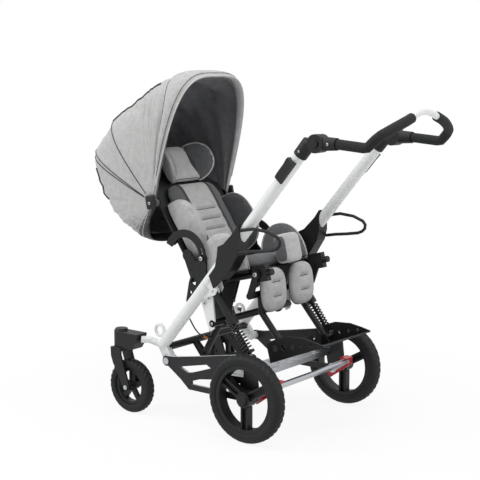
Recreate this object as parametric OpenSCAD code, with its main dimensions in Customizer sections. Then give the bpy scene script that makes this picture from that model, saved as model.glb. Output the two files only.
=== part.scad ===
// Special needs buggy: a folding sprung base with a tilting, reclining seat, a canopy and a legrest.
// X runs across, +Y points to the front casters, Z is up and the floor is z = 0.
// The seat faces the push handle.

/* [Base] */
// Distance of the rear axle behind the origin
rear_axle_back = 168; // [160:1:180]
// Clearance from the seat pan to the middle of each main side tube
frame_clear = 38.5; // [36:0.5:45]
// Outer diameter of the main side tubes
tube_d = 40; // [37:0.5:42]
// Wall of the main side tubes
tube_wall = 2.5; // [1.5:0.25:4]
// Lean of the main side tubes from upright, in degrees
tube_lean = 40.1; // [39:0.1:41]
// Height of the foot of the side tubes
tube_foot_z = 248; // [242:1:254]
// Distance of the foot of the side tubes ahead of the rear axle
tube_foot_y = 416; // [410:1:424]
// Length of the lower side tubes from the foot to the fold
lower_len = 312; // [306:1:320]
// Length of the push tubes from the fold to the handle hinges
push_len = 604; // [580:1:630]

/* [Wheels] */
// Diameter of the rear wheels
rear_d = 290; // [280:1:300]
// Distance of the rear wheels outside the main side tubes
wheel_out = 63; // [60:0.5:70]
// Width of the rear tyres
rear_tyre_w = 48; // [40:1:50]
// Diameter of the front casters
caster_d = 190; // [180:1:195]
// Distance of the front casters outside the main side tubes
caster_out = 44.5; // [42:0.5:50]
// Width of the caster tyres
caster_tyre_w = 40; // [34:1:44]
// Distance of the caster swivel axes ahead of the rear axle
swivel_y = 571; // [560:1:585]
// Trail of the casters behind their swivel axes
caster_trail = 48; // [42:1:54]

/* [Seat] */
// Width of the seat pan
seat_w = 370; // [364:1:374]
// Depth of the seat pan
seat_depth = 255; // [248:1:260]
// Tilt of the seat pan, in degrees
seat_tilt = 14; // [12:0.5:15]
// Thickness of the seat cushion
seat_pad_t = 46; // [36:1:52]
// Lean of the backrest from upright, in degrees
back_lean = 34.3; // [33:0.1:35]
// Clearance from the edge of the seat to the backrest shell
back_clear = 6; // [5.5:0.5:9]
// Length of the backrest shell up to the top of the head
back_len = 466; // [455:1:476]
// Thickness of the back cushion
back_pad_t = 34; // [26:1:40]

/* [Legrest] */
// Height of the ankle axis of the footplate
ankle_z = 276.4; // [270:0.1:282]
// Width of the footplate
foot_w = 284; // [280:1:292]
// Length of the footplate
foot_len = 226; // [215:1:235]
// Upward tilt of the footplate, in degrees
foot_tilt = 22; // [20:0.5:24]

/* [Canopy] */
// Distance of the canopy fabric outside the backrest shell
canopy_out = 29; // [27:0.5:34]
// Height of the front edge above the canopy hinges
canopy_h = 456; // [440:1:470]
// Thickness of the canopy fabric with its lining
fabric_t = 3; // [2:0.25:4]

/* [Hidden] */
$fn = 48;

// Clearances shared by the whole part
gap = 0.4;
run_fit = 0.06;
over = 1;

// Colours of the finishes
white_paint = "#eef0f0";
black_plastic = "#26272a";
black_steel = "#1c1d20";
silver = "#c3c6ca";
tyre_black = "#2b2c2e";
light_cloth = "#a9a9a8";
dark_cloth = "#5c5d5f";
pedal_red = "#c8202c";

// Derived places, as [y, z] measured from the rear axle line on the floor
frame_w = seat_w + 2 * frame_clear;
half_w = frame_w / 2;
rear_track = frame_w + 2 * wheel_out;
caster_track = frame_w + 2 * caster_out;
back_w = seat_w - 2 * back_clear;
canopy_half_w = back_w / 2 + canopy_out;
axle_z = rear_d / 2;
tube_foot = [tube_foot_y, tube_foot_z];

function on_tube(along, rear = 0) =
    tube_foot + along * [-sin(tube_lean), cos(tube_lean)] - rear * [cos(tube_lean), sin(tube_lean)];
function turn_yz(p, a) = [p[0] * cos(a) - p[1] * sin(a), p[0] * sin(a) + p[1] * cos(a)];
function spow(v, e) = sign(v) * pow(abs(v), e);
function unit(v) = v / norm(v);

pin_up = 8;
pin_rear = 40;
fold_pin_d = 10;
fold_pin = on_tube(lower_len + pin_up, pin_rear);

swing_back = 44;
swing_drop = 43;
swing_pin = tube_foot - [swing_back, swing_drop];
swing_pin_d = 14;

tilt_ahead = 20;
tilt_drop = 115;
tilt_pin = fold_pin + [tilt_ahead, -tilt_drop];
tilt_tube_d = 25;

seat_ahead = 118;
seat_up = 126;
seat_org = tilt_pin + [seat_ahead, seat_up];
function on_seat(y, z) = seat_org + turn_yz([y, z], -seat_tilt);

recline_up = 89;
recline_back = 2;
recline_pin = on_seat(-recline_back, recline_up);
recline_pin_d = 12;
function on_back(y, z) = recline_pin + turn_yz([y, z], -back_lean);

canopy_up = 220;
shell_back = 13;
shell_t = 5;
canopy_pin = on_back(shell_back + shell_t, canopy_up);

knee_ahead = 22;
knee_drop = 15;
knee_pin = on_seat(-seat_depth - knee_ahead, -knee_drop);
leg_lean = 17.2;
leg_len = (knee_pin[1] - ankle_z) / cos(leg_lean);
ankle_pin = knee_pin + leg_len * [-sin(leg_lean), -cos(leg_lean)];

// Frames that the sub-parts are drawn in
module place() translate([0, -rear_axle_back, 0]) children();
module at_yz(p) translate([0, p[0], p[1]]) children();
module on_tube_axis() translate([half_w, tube_foot_y, tube_foot_z]) rotate([tube_lean, 0, 0]) children();
module on_seat_frame() at_yz(seat_org) rotate([-seat_tilt, 0, 0]) children();
module on_back_frame() at_yz(recline_pin) rotate([-back_lean, 0, 0]) children();
module pair() {
    children();
    mirror([1, 0, 0]) children();
}
module side(left) mirror([left ? 1 : 0, 0, 0]) children();

// Plain shapes
module bar_x(p, x0, x1, d) translate([x0, p[0], p[1]]) rotate([0, 90, 0]) cylinder(h = x1 - x0, d = d);
module plate_x(x0, t, outline) translate([x0, 0, 0]) rotate([90, 0, 90]) linear_extrude(t) polygon(outline);
module rod(p, q, d1, d2) {
    v = q - p;
    translate(p) rotate([0, acos(v[2] / norm(v)), atan2(v[1], v[0])]) cylinder(h = norm(v), d1 = d1, d2 = d2);
}

// Tube swept along a list of points, with ref chosen away from its run
function tangent(p, i) = unit(p[min(i + 1, len(p) - 1)] - p[max(i - 1, 0)]);
function ring_at(p, i, r, sides, ref) =
    let (t = tangent(p, i), a = unit(cross(ref, t)), b = cross(t, a))
    [for (k = [0 : sides - 1]) p[i] + r * (cos(360 * k / sides) * a + sin(360 * k / sides) * b)];
function wall_faces(rings, sides, first, out) = [
    for (i = [0 : rings - 2], k = [0 : sides - 1])
        let (a = first + i * sides + k, b = first + i * sides + (k + 1) % sides, c = a + sides, d = b + sides)
        each (out ? [[a, c, d], [a, d, b]] : [[a, d, c], [a, b, d]])
];
function cap_faces(sides, first, end) = [
    for (k = [1 : sides - 2]) end ? [first, first + k + 1, first + k] : [first, first + k, first + k + 1]
];
function ring_faces(sides, outer, inner, end) = [
    for (k = [0 : sides - 1])
        let (a = outer + k, b = outer + (k + 1) % sides, c = inner + k, d = inner + (k + 1) % sides)
        each (end ? [[a, d, b], [a, c, d]] : [[a, b, d], [a, d, c]])
];
module sweep(p, d, sides, ref) polyhedron(
    points = [for (i = [0 : len(p) - 1]) each ring_at(p, i, d / 2, sides, ref)],
    faces = concat(
        wall_faces(len(p), sides, 0, true),
        cap_faces(sides, 0, false),
        cap_faces(sides, (len(p) - 1) * sides, true)
    )
);
module sleeve(p, d, bore, sides, ref) {
    n = len(p) * sides;
    polyhedron(
        points = concat(
            [for (i = [0 : len(p) - 1]) each ring_at(p, i, d / 2, sides, ref)],
            [for (i = [0 : len(p) - 1]) each ring_at(p, i, bore / 2, sides, ref)]
        ),
        faces = concat(
            wall_faces(len(p), sides, 0, true),
            wall_faces(len(p), sides, n, false),
            ring_faces(sides, 0, n, false),
            ring_faces(sides, n - sides, 2 * n - sides, true)
        )
    );
}

// Pad: rings of a rounded outline that close over a crown on both faces
pad_levels = 8;
pad_segs = 28;
pad_flat_share = 0.06;
pad_edge_power = 0.55;
pad_crown_power = 0.7;
pad_tip_share = 0.12;
function cushion_ring(w, up, down, t, square, f, edge, crown) = [
    for (k = [0 : pad_segs - 1])
        let (a = 360 * k / pad_segs, s = pow(cos(f), edge))
        [
            s * w / 2 * spow(cos(a), 2 / square),
            s * (sin(a) > 0 ? up : down) * spow(sin(a), 2 / square),
            t / 2 + t / 2 * spow(sin(f), crown)
        ]
];
module cushion(w, up, down, t, square, edge = pad_edge_power, crown = pad_crown_power) {
    step = 180 / pad_levels;
    steps = [for (i = [0 : pad_levels]) i == 0 ? pad_tip_share : i == pad_levels ? i - pad_tip_share : i];
    polyhedron(
        points = [for (i = steps) each cushion_ring(w, up, down, t, square, step * i - 90, edge, crown)],
        faces = concat(
            wall_faces(pad_levels + 1, pad_segs, 0, true),
            cap_faces(pad_segs, 0, false),
            cap_faces(pad_segs, pad_levels * pad_segs, true)
        )
    );
}

// Channelled cushion: sections across it, drawn in at both ends and at each sewn channel
channel_w = 7;
end_power = 0.34;
section_power = 0.42;
base_share = 0.3;
function channel_dip(y, channels, deep) =
    len(channels) == 0 ? 0 : deep * max([for (c = channels) exp(-(y - c) * (y - c) / (channel_w * channel_w))]);
function roll_section(w, long, t, y, segs, channels, deep) =
    let (e = pow(max(0, 1 - pow(abs(2 * y / long), 4)), end_power), grow = 0.15 + 0.85 * e)
    [
        for (k = [0 : segs - 1])
            let (
                a = 360 * k / segs,
                x = w / 2 * (0.82 + 0.18 * e) * spow(cos(a), section_power),
                up = (t * (1 - base_share) - channel_dip(y, channels, deep) * (1 - pow(abs(2 * x / w), 6))) * grow,
                h = sin(a) > 0 ? up * spow(sin(a), 0.8) : t * base_share * grow * spow(sin(a), 0.6)
            )
            [x, y, t * base_share + h]
    ];
module roll_cushion(w, long, t, stations, segs, channels, deep) {
    ys = [
        for (i = [0 : stations])
            long / 2 * (0.55 * cos(180 * i / stations) + 0.45 * (1 - 2 * i / stations))
    ];
    polyhedron(
        points = [for (y = ys) each roll_section(w, long, t, y, segs, channels, deep)],
        faces = concat(
            wall_faces(stations + 1, segs, 0, false),
            cap_faces(segs, 0, true),
            cap_faces(segs, stations * segs, false)
        )
    );
}

// Side frames: lower tube with fold knuckle, gusset, tie-down ring, caster arm and swing lug
knuckle_t = 12;
knuckle_d = 28;
knuckle_run = 60;
gusset_t = 6;
gusset_in = 11;
gusset_w = 62;
gusset_h = 142;
gusset_shares = [
    [1.1, 0.07], [0.3, -0.06], [0.14, -0.72], [0.2, -0.93], [0.46, -1], [0.62, -0.88], [1.05, -0.35]
];
tie_ring_d = 50;
tie_hole_d = 28;
tie_t = 10;
tie_edge = 3;
tie_along = 30;
tie_ahead = 43;
arm_tube_d = 24;
arm_knee_y = 452;
arm_knee_z = 266;
arm_knee_out = caster_out * 0.58;
arm_end_y = 476;
arm_end_z = 268;
arm_end_out = caster_out;
lug_t = 20;
lug_d = 30;
lug_bolt = [22, 37];
boss_d = 26;
arm_t = 10;
tyre_clear = 7;
arm_gap = wheel_out - rear_tyre_w / 2 - tyre_clear - arm_t;

module side_frame(left) color(white_paint) side(left) difference() {
    union() {
        on_tube_axis() difference() {
            cylinder(h = lower_len, d = tube_d);
            translate([0, 0, tube_d / 2]) cylinder(h = lower_len, d = tube_d - 2 * tube_wall);
        }
        on_tube_axis() translate([-knuckle_t / 2, 0, 0]) rotate([90, 0, 90]) linear_extrude(knuckle_t) union() {
            translate([-pin_rear, lower_len + pin_up]) circle(d = knuckle_d);
            polygon([
                [-tube_d / 2 + tube_wall, lower_len - knuckle_run],
                [-tube_d / 2 + tube_wall, lower_len - 2 * tube_wall],
                [-pin_rear + knuckle_d / 4, lower_len + pin_up + knuckle_d / 3],
                [-pin_rear - knuckle_d / 2, lower_len + pin_up]
            ]);
        }
        plate_x(half_w - gusset_in, gusset_t, [
            for (p = gusset_shares) fold_pin + [p[0] * gusset_w, p[1] * gusset_h]
        ]);
        on_tube_axis() translate([0, tie_ahead, tie_along]) rotate([0, 90, 0]) rotate_extrude() polygon([
            [tie_hole_d / 2, tie_edge - tie_t / 2], [tie_hole_d / 2 + tie_edge, -tie_t / 2],
            [tie_ring_d / 2 - tie_edge, -tie_t / 2], [tie_ring_d / 2, tie_edge - tie_t / 2],
            [tie_ring_d / 2, tie_t / 2 - tie_edge], [tie_ring_d / 2 - tie_edge, tie_t / 2],
            [tie_hole_d / 2 + tie_edge, tie_t / 2], [tie_hole_d / 2, tie_t / 2 - tie_edge]
        ]);
        rod([half_w, tube_foot_y, tube_foot_z], [half_w + arm_knee_out, arm_knee_y, arm_knee_z],
            arm_tube_d, arm_tube_d);
        translate([half_w + arm_knee_out, arm_knee_y, arm_knee_z]) sphere(d = arm_tube_d + gap);
        rod([half_w + arm_knee_out, arm_knee_y, arm_knee_z], [half_w + arm_end_out, arm_end_y, arm_end_z],
            arm_tube_d, arm_tube_d);
        bar_x(tube_foot - lug_bolt, half_w - lug_t / 2, half_w + lug_t / 2, lug_d);
        bar_x(swing_pin, half_w - lug_t / 2, half_w + lug_t / 2, lug_d);
        bar_x(swing_pin, half_w, half_w + arm_gap, boss_d);
        plate_x(half_w - lug_t / 2, lug_t, [
            tube_foot + [tube_d / 4, tube_d / 4],
            tube_foot + [tube_d / 4, -tube_d / 4],
            tube_foot - lug_bolt + [lug_d / 3, -lug_d / 3],
            swing_pin + [0, -lug_d / 2],
            swing_pin + [-lug_d / 4, lug_d / 3],
            tube_foot + [-tube_d / 3, tube_d / 3]
        ]);
    }
    bar_x(fold_pin, half_w - knuckle_t, half_w + knuckle_t, fold_pin_d);
    bar_x(tilt_pin, half_w - gusset_in - over, half_w - gusset_in + gusset_t + over, tilt_tube_d + run_fit);
    bar_x(swing_pin, half_w - lug_t, half_w + arm_gap + over, swing_pin_d);
    bar_x(tube_foot - lug_bolt, half_w - lug_t, half_w + lug_t, lower_bolt_d);
    bar_x(foot_tube_at, half_w - lug_t, half_w - lug_t / 2 + foot_tube_seat, foot_tube_d + run_fit);
}

// Cross tubes: the front one joins the feet of the frames, the other is the axle that the seat tilts on
foot_tube_d = 26;
foot_tube_seat = 6;
foot_tube_in = [16, 6];
foot_tube_at = tube_foot - foot_tube_in;
gas_x = -75;
lever_len = 30;
gas_low_in = [62, 54];
gas_low = tube_foot - gas_low_in;
gas_ear_t = 5;
gas_eye_w = 12;
gas_pin_d = 8;
gas_ear_d = 22;

module cross_tubes() color(black_steel) difference() {
    foot_reach = half_w - lug_t / 2 + foot_tube_seat;
    tilt_reach = half_w - gusset_in + gusset_t;
    union() {
        bar_x(foot_tube_at, -foot_reach, foot_reach, foot_tube_d);
        for (s = [-1, 1]) translate([gas_x + s * (gas_eye_w / 2 + gas_ear_t / 2 + gap) - gas_ear_t / 2, 0, 0]) {
            bar_x(gas_low, 0, gas_ear_t, gas_ear_d);
            plate_x(0, gas_ear_t, [
                gas_low + [-gas_ear_d / 4, gas_ear_d * 0.43], foot_tube_at + [0, foot_tube_d / 3],
                foot_tube_at + [0, -foot_tube_d / 3], gas_low + [gas_ear_d / 4, -gas_ear_d * 0.43]
            ]);
        }
        bar_x(gas_low, gas_x - gas_eye_w, gas_x + gas_eye_w, gas_pin_d);
        bar_x(tilt_pin, -tilt_reach, tilt_reach, tilt_tube_d);
    }
    bar_x(foot_tube_at, -half_w, half_w, foot_tube_d - 2 * tube_wall);
    bar_x(tilt_pin, -half_w, half_w, tilt_tube_d - 2 * tube_wall);
}

// Caster housings: moulded blocks on the ends of the caster arms, with the swivel bearing bore
housing_w = 52;
housing_h = 56;
housing_floor_z = 231;
housing_tail_y = 474;
housing_chin = 24;
swivel_d = 18;
swivel_cap_d = 50;
swivel_cap_h = 8;

module caster_housings() color(black_plastic) pair() difference() {
    union() {
        translate([caster_track / 2, swivel_y, housing_floor_z]) cylinder(h = housing_h, d = housing_w);
        translate([caster_track / 2, swivel_y, housing_floor_z + housing_h])
            cylinder(h = swivel_cap_h, d1 = swivel_cap_d, d2 = swivel_cap_d - swivel_cap_h);
        plate_x(caster_track / 2 - housing_w / 2, housing_w, [
            [swivel_y, housing_floor_z], [housing_tail_y + housing_chin, housing_floor_z],
            [housing_tail_y + housing_chin / 3, housing_floor_z + housing_chin],
            [housing_tail_y, housing_floor_z + housing_h], [swivel_y, housing_floor_z + housing_h]
        ]);
    }
    translate([caster_track / 2, swivel_y, housing_floor_z - over])
        cylinder(h = housing_h + over, d = swivel_d + 2 * run_fit);
    rod([half_w + arm_knee_out, arm_knee_y, arm_knee_z],
        [half_w + arm_end_out, arm_end_y, arm_end_z], arm_tube_d + gap, arm_tube_d + gap);
}

// Pins, bolts and screws of the base
lower_bolt_d = 10;
bolt_head_d = 17;
bolt_head_h = 7;
strut_cheek_t = 4;
push_cheek_t = 4;
push_cheek_x = 12;
gusset_bolts_shares = [[0.52, -0.2], [0.8, -0.34]];
gusset_bolt_d = 12;
gusset_bolt_h = 5;

module frame_bolts() color(silver) pair() {
    cap_x = half_w + push_cheek_x + push_cheek_t + gap;
    head_x = half_w + arm_gap + arm_t + gap;
    bar_x(fold_pin, 2 * half_w - cap_x, cap_x, fold_pin_d - 2 * run_fit);
    bar_x(swing_pin, half_w - lug_t / 2, head_x, swing_pin_d - 2 * run_fit);
    bar_x(swing_pin, head_x, head_x + bolt_head_h / 2, bolt_head_d + swing_pin_d / 2);
    bar_x(tube_foot - lug_bolt, half_w - lug_t / 2, half_w + lug_t / 2, lower_bolt_d - 2 * run_fit);
    bar_x(tube_foot - lug_bolt, half_w + lug_t / 2, half_w + lug_t / 2 + bolt_head_h, bolt_head_d);
    for (p = gusset_bolts_shares)
        bar_x(fold_pin + [p[0] * gusset_w, p[1] * gusset_h],
            half_w - gusset_in - gusset_bolt_h, half_w - gusset_in, gusset_bolt_d);
}

// Release cable of the gas spring, from the left side tube to the spring's lever
cable_d = 5;
cable_in = 16;
cable_off = 1.2;
cable_from_x = cable_in - half_w;
cable_to_x = gas_x - lever_len - cable_off;
cable_shares = [
    [0, 306.5, 352.5], [0.1, 306, 336], [0.27, 308, 314], [0.49, 311, 293], [0.745, 313, 277], [1, 313.5, 265.5]
];
cable_route = [for (p = cable_shares) [cable_from_x + p[0] * (cable_to_x - cable_from_x), p[1], p[2]]];

module release_cable() color(black_plastic) sweep(cable_route, cable_d, 8, [0, 0, 1]);

// Caster forks with their swivel stems, axles and wheels
fork_crown_h = 12;
fork_blade_t = 7;
fork_gap = 5;
fork_foot_d = 26;
fork_crown_l = 58;
fork_nose = 24;
caster_axle_d = 10;
caster_axle_z = caster_d / 2;
caster_axle_y = swivel_y - caster_trail;
fork_top_z = housing_floor_z - gap;
fork_half = caster_tyre_w / 2 + fork_gap;

module caster_fork(left) color(black_plastic) side(left) translate([caster_track / 2, 0, 0]) difference() {
    union() {
        translate([0, swivel_y, fork_top_z - over]) cylinder(h = housing_h - swivel_cap_h, d = swivel_d);
        translate([0, swivel_y, fork_top_z - fork_crown_h]) cylinder(h = fork_crown_h, d = housing_w - gap);
        translate([-fork_half - fork_blade_t, swivel_y - fork_nose, fork_top_z - fork_crown_h])
            cube([2 * (fork_half + fork_blade_t), 2 * fork_nose, fork_crown_h]);
        for (x0 = [-fork_half - fork_blade_t, fork_half]) {
            bar_x([caster_axle_y, caster_axle_z], x0, x0 + fork_blade_t, fork_foot_d);
            plate_x(x0, fork_blade_t, [
                [swivel_y + fork_nose, fork_top_z], [swivel_y - fork_nose, fork_top_z],
                [swivel_y - fork_nose * 0.95, fork_top_z - fork_crown_h * 2],
                [caster_axle_y - fork_foot_d / 2, caster_axle_z + fork_foot_d / 4],
                [caster_axle_y + fork_foot_d * 0.45, caster_axle_z - fork_foot_d / 6],
                [swivel_y + fork_nose * 0.55, fork_top_z - fork_crown_l],
                [swivel_y + fork_nose * 0.95, fork_top_z - fork_crown_l * 0.55]
            ]);
        }
    }
    reach = fork_half + 2 * fork_blade_t;
    bar_x([caster_axle_y, caster_axle_z], -reach, reach, caster_axle_d);
}

axle_nut_d = 16;
axle_nut_h = 5;
module caster_axle(left) color(silver) side(left) translate([caster_track / 2, 0, 0]) {
    reach = fork_half + fork_blade_t;
    bar_x([caster_axle_y, caster_axle_z], -reach, reach, caster_axle_d - 2 * run_fit);
    for (x0 = [-reach - axle_nut_h, reach]) bar_x([caster_axle_y, caster_axle_z], x0, x0 + axle_nut_h, axle_nut_d);
}

// Wheel parts: a tyre with a squared round section, and a rim whose spokes are pairs of ribs
tyre_square = 2.6;
tyre_points = 20;
module tyre(d, w, inner) {
    depth = (d - inner) / 2;
    rotate([0, 90, 0]) rotate_extrude() translate([d / 2 - depth / 2, 0]) polygon([
        for (k = [0 : tyre_points - 1])
            let (a = 360 * (k + 0.5) / tyre_points)
            [depth / 2 * spow(cos(a), 2 / tyre_square), w / 2 * spow(sin(a), 2 / tyre_square)]
    ]);
}
module ring_x(d, bore, w) rotate([0, 90, 0]) rotate_extrude()
    translate([bore / 2, -w / 2]) square([(d - bore) / 2, w]);

caster_rim_d = 132;
caster_rim_t = 12;
caster_rim_w = 24;
caster_hub_d = 30;
caster_spokes = 5;
caster_spoke_w = 15;
caster_spoke_t = 14;
module caster_tyre(left) color(tyre_black) side(left) translate([caster_track / 2, caster_axle_y, caster_axle_z])
    difference() {
        tyre(caster_d, caster_tyre_w, caster_rim_d - 2 * caster_rim_t / 3);
        ring_x(caster_rim_d, caster_rim_d - 4 * caster_rim_t, 2 * caster_tyre_w);
    }
module caster_rim(left) color(black_plastic) side(left) translate([caster_track / 2, caster_axle_y, caster_axle_z])
    difference() {
        hub_w = caster_tyre_w + 2 * fork_gap - 2 * gap;
        spoke_run = (caster_rim_d - caster_hub_d) / 2 - caster_rim_t + 2 * over;
        union() {
            ring_x(caster_rim_d - gap / 2, caster_rim_d - 2 * caster_rim_t, caster_rim_w);
            ring_x(caster_hub_d, caster_axle_d, hub_w);
            for (k = [0 : caster_spokes - 1]) rotate([360 * k / caster_spokes, 0, 0])
                translate([-caster_spoke_t / 2, -caster_spoke_w / 2, caster_hub_d / 2 - over])
                    cube([caster_spoke_t, caster_spoke_w, spoke_run]);
        }
        rotate([0, 90, 0]) cylinder(h = 2 * hub_w, d = caster_axle_d + run_fit, center = true);
    }

// Swing arms: open trusses from the feet of the frames to the rear axle
strut_low_y = 25;
strut_low_up = 117;
strut_low = [strut_low_y, axle_z + strut_low_up];
strut_pin_d = 10;
strut_boss_d = 30;
axle_d = 16;
axle_boss_d = 46;
arm_run = swing_pin[0];
arm_rise = strut_low_up;
arm_top_shares = [
    [0.985, 0.66], [0.9, 0.68], [0.57, 0.86], [0.2, 1.08], [0.03, 1.12], [-0.03, 0.9], [-0.06, 0.1]
];
arm_low_shares = [[-0.03, -0.16], [0.1, -0.2], [0.49, -0.2], [0.73, -0.2], [0.83, 0.06], [0.98, 0.37]];
arm_cut_a_shares = [[0.84, 0.42], [0.52, 0.64], [0.47, 0.56], [0.68, 0.33], [0.74, 0.29]];
arm_cut_b_shares = [[0.36, 0.66], [0.16, 0.82], [0.1, 0.78], [0.1, 0.5], [0.33, 0.46]];
arm_cut_c_shares = [
    [0.7, 0.06], [0.6, 0.17], [0.4, 0.27], [0.14, 0.3], [0.12, 0.0], [0.5, -0.03], [0.7, -0.03]
];
function arm_points(shares) = [for (p = shares) [p[0] * arm_run, axle_z + p[1] * arm_rise]];

module swing_arms() color(black_plastic) pair() difference() {
    x0 = half_w + arm_gap + gap;
    union() {
        plate_x(x0, arm_t - gap, arm_points(concat(arm_top_shares, arm_low_shares)));
        bar_x(swing_pin, x0, x0 + arm_t - gap, boss_d + 2 * arm_t / 2);
        bar_x([0, axle_z], x0, x0 + arm_t - gap, axle_boss_d);
        bar_x(strut_low, half_w + strut_eye_w / 2 + over, x0 + arm_t - gap, strut_boss_d);
        bar_x(strut_low, half_w - strut_eye_w / 2 - over, x0, strut_pin_d);
    }
    for (shares = [arm_cut_a_shares, arm_cut_b_shares, arm_cut_c_shares])
        plate_x(x0 - over, arm_t + 2 * over, arm_points(shares));
    bar_x(swing_pin, x0 - over, x0 + arm_t + over, swing_pin_d + run_fit);
    bar_x([0, axle_z], x0 - over, x0 + arm_t + over, axle_d);
}

// Tread plate between the swing arms, with raised ribs
tread_y0 = 44;
tread_y1 = 140;
tread_z = 192;
tread_t = 3;
tread_flange = 14;
tread_ribs = 9;
tread_rib_w = 14;
tread_rib_h = 1.5;
module tread_plate() color(silver) {
    reach = half_w + arm_gap + gap;
    translate([-reach, tread_y0, tread_z]) cube([2 * reach, tread_y1 - tread_y0, tread_t]);
    for (y = [tread_y0, tread_y1 - tread_t]) translate([-reach, y, tread_z - tread_flange])
        cube([2 * reach, tread_t, tread_flange]);
    for (k = [0 : tread_ribs - 1]) {
        mid = reach * (2 * (k + 0.5) / tread_ribs - 1) * 0.94;
        translate([mid - tread_rib_w / 2, tread_y0 + 2 * tread_t, tread_z + tread_t])
            cube([tread_rib_w, tread_y1 - tread_y0 - 4 * tread_t, tread_rib_h]);
    }
}

// Rear axle, tyres and rims
rear_rim_d = 226;
rear_rim_t = 14;
rear_rim_w = 40;
rear_hub_d = 52;
rear_hub_w = 42;
rear_spokes = 3;
rear_rib_t = 7;
rear_rib_gap = 15;
rear_rib_w = 26;
spoke_sink = 2;
hub_cap_d = 40;
hub_cap_h = 7;
module rear_axle() color(silver) {
    reach = rear_track / 2 + rear_hub_w / 2;
    bar_x([0, axle_z], -reach, reach, axle_d - run_fit);
}
module rear_tyre(left) color(tyre_black) side(left) translate([rear_track / 2, 0, axle_z])
    difference() {
        tyre(rear_d, rear_tyre_w, rear_rim_d - rear_rim_t);
        ring_x(rear_rim_d, rear_rim_d - 4 * rear_rim_t, 2 * rear_tyre_w);
    }
module rear_rim(left) color(black_plastic) side(left) translate([rear_track / 2, 0, axle_z]) difference() {
    union() {
        ring_x(rear_rim_d - gap / 2, rear_rim_d - 2 * rear_rim_t, rear_rim_w);
        ring_x(rear_hub_d, axle_d, rear_hub_w);
        for (k = [0 : rear_spokes - 1]) rotate([360 * (k + 0.5) / rear_spokes, 0, 0]) {
            run = (rear_rim_d - rear_hub_d) / 2 - rear_rim_t + 2 * spoke_sink;
            for (s = [-1, 1]) {
                rib_y = s * (rear_rib_gap + rear_rib_t) / 2 - rear_rib_t / 2;
                translate([-rear_rib_w / 2, rib_y, rear_hub_d / 2 - spoke_sink])
                    cube([rear_rib_w, rear_rib_t, run]);
            }
            translate([-rear_rib_t / 2, -rear_rib_gap / 2 - over, rear_hub_d / 2 - spoke_sink])
                cube([rear_rib_t, rear_rib_gap + 2 * over, run]);
        }
        translate([rear_hub_w / 2, 0, 0]) rotate([0, 90, 0])
            cylinder(h = hub_cap_h, d1 = hub_cap_d, d2 = hub_cap_d - hub_cap_h);
    }
    translate([-rear_hub_w, 0, 0]) rotate([0, 90, 0]) cylinder(h = rear_hub_w * 1.5 + gap, d = axle_d + run_fit);
}

// Spring struts between the fold pins and the swing arms
strut_run = strut_low - fold_pin;
strut_len = norm(strut_run);
strut_lean = atan2(-strut_run[0], -strut_run[1]);
strut_body_d = 26;
strut_body_end = 104;
strut_collar_d = 40;
strut_collar_h = 26;
strut_fork_run = 30;
strut_cheek_d = 24;
strut_rod_d = 12;
strut_eye_w = 14;
strut_eye_d = 26;
strut_eye_play = 0.7;
strut_seat_t = 6;
strut_seat_up = 20;
strut_stroke = 42;
spring_d = 38;
spring_wire = 5.5;
spring_turns = 8.5;
spring_top = strut_body_end + strut_collar_h;
spring_low = strut_len - strut_seat_up - strut_seat_t - gap;
module on_strut() translate([half_w, fold_pin[0], fold_pin[1]]) rotate([-strut_lean, 0, 0]) children();

module strut_cylinders() color(black_plastic) pair() on_strut() difference() {
    union() {
        for (s = [-1, 1]) {
            x0 = s > 0 ? knuckle_t / 2 + gap : -knuckle_t / 2 - gap - strut_cheek_t;
            bar_x([0, 0], x0, x0 + strut_cheek_t, strut_cheek_d);
            translate([x0, -strut_cheek_d / 2, -strut_fork_run])
                cube([strut_cheek_t, strut_cheek_d, strut_fork_run]);
        }
        translate([0, 0, -strut_body_end])
            cylinder(h = strut_body_end - strut_fork_run + strut_cheek_t, d = strut_body_d);
        translate([0, 0, -spring_top]) cylinder(h = strut_collar_h, d = strut_collar_d);
    }
    bar_x([0, 0], -strut_cheek_d, strut_cheek_d, fold_pin_d + run_fit);
    translate([0, 0, -spring_top - over])
        cylinder(h = spring_top - strut_fork_run - strut_cheek_t, d = strut_rod_d + 2 * run_fit);
}

// Coil springs: eight rings a turn; the pitch less the wire is the least gap between turns
spring_steps = spring_turns * 8;
spring_pitch = (spring_low - spring_top - 2 * gap - spring_wire) / spring_turns;
spring_path = [
    for (k = [0 : spring_steps])
        let (a = 360 * k / 8, z = -spring_top - gap - spring_wire / 2 - spring_pitch * k / 8)
        [(spring_d - spring_wire) / 2 * cos(a), (spring_d - spring_wire) / 2 * sin(a), z]
];
spring_gap = min([
    for (i = [0 : len(spring_path) - 1], j = [i + 5 : len(spring_path) - 1])
        if (j < len(spring_path)) norm(spring_path[i] - spring_path[j])
]) - spring_wire;
module strut_springs() color(black_steel) pair() on_strut() sweep(spring_path, spring_wire, 6, [0, 0, 1]);

module strut_rods() color(silver) pair() on_strut() difference() {
    union() {
        translate([0, 0, -strut_len + strut_eye_d / 4])
            cylinder(h = strut_len - strut_fork_run - strut_stroke - strut_eye_d / 4, d = strut_rod_d);
        translate([0, 0, -strut_len + strut_seat_up]) cylinder(h = strut_seat_t, d = strut_collar_d);
        bar_x([0, -strut_len], -strut_eye_w / 2, strut_eye_w / 2, strut_eye_d);
    }
    bar_x([0, -strut_len], -strut_eye_w, strut_eye_w, strut_pin_d + 2 * strut_eye_play);
}

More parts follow.
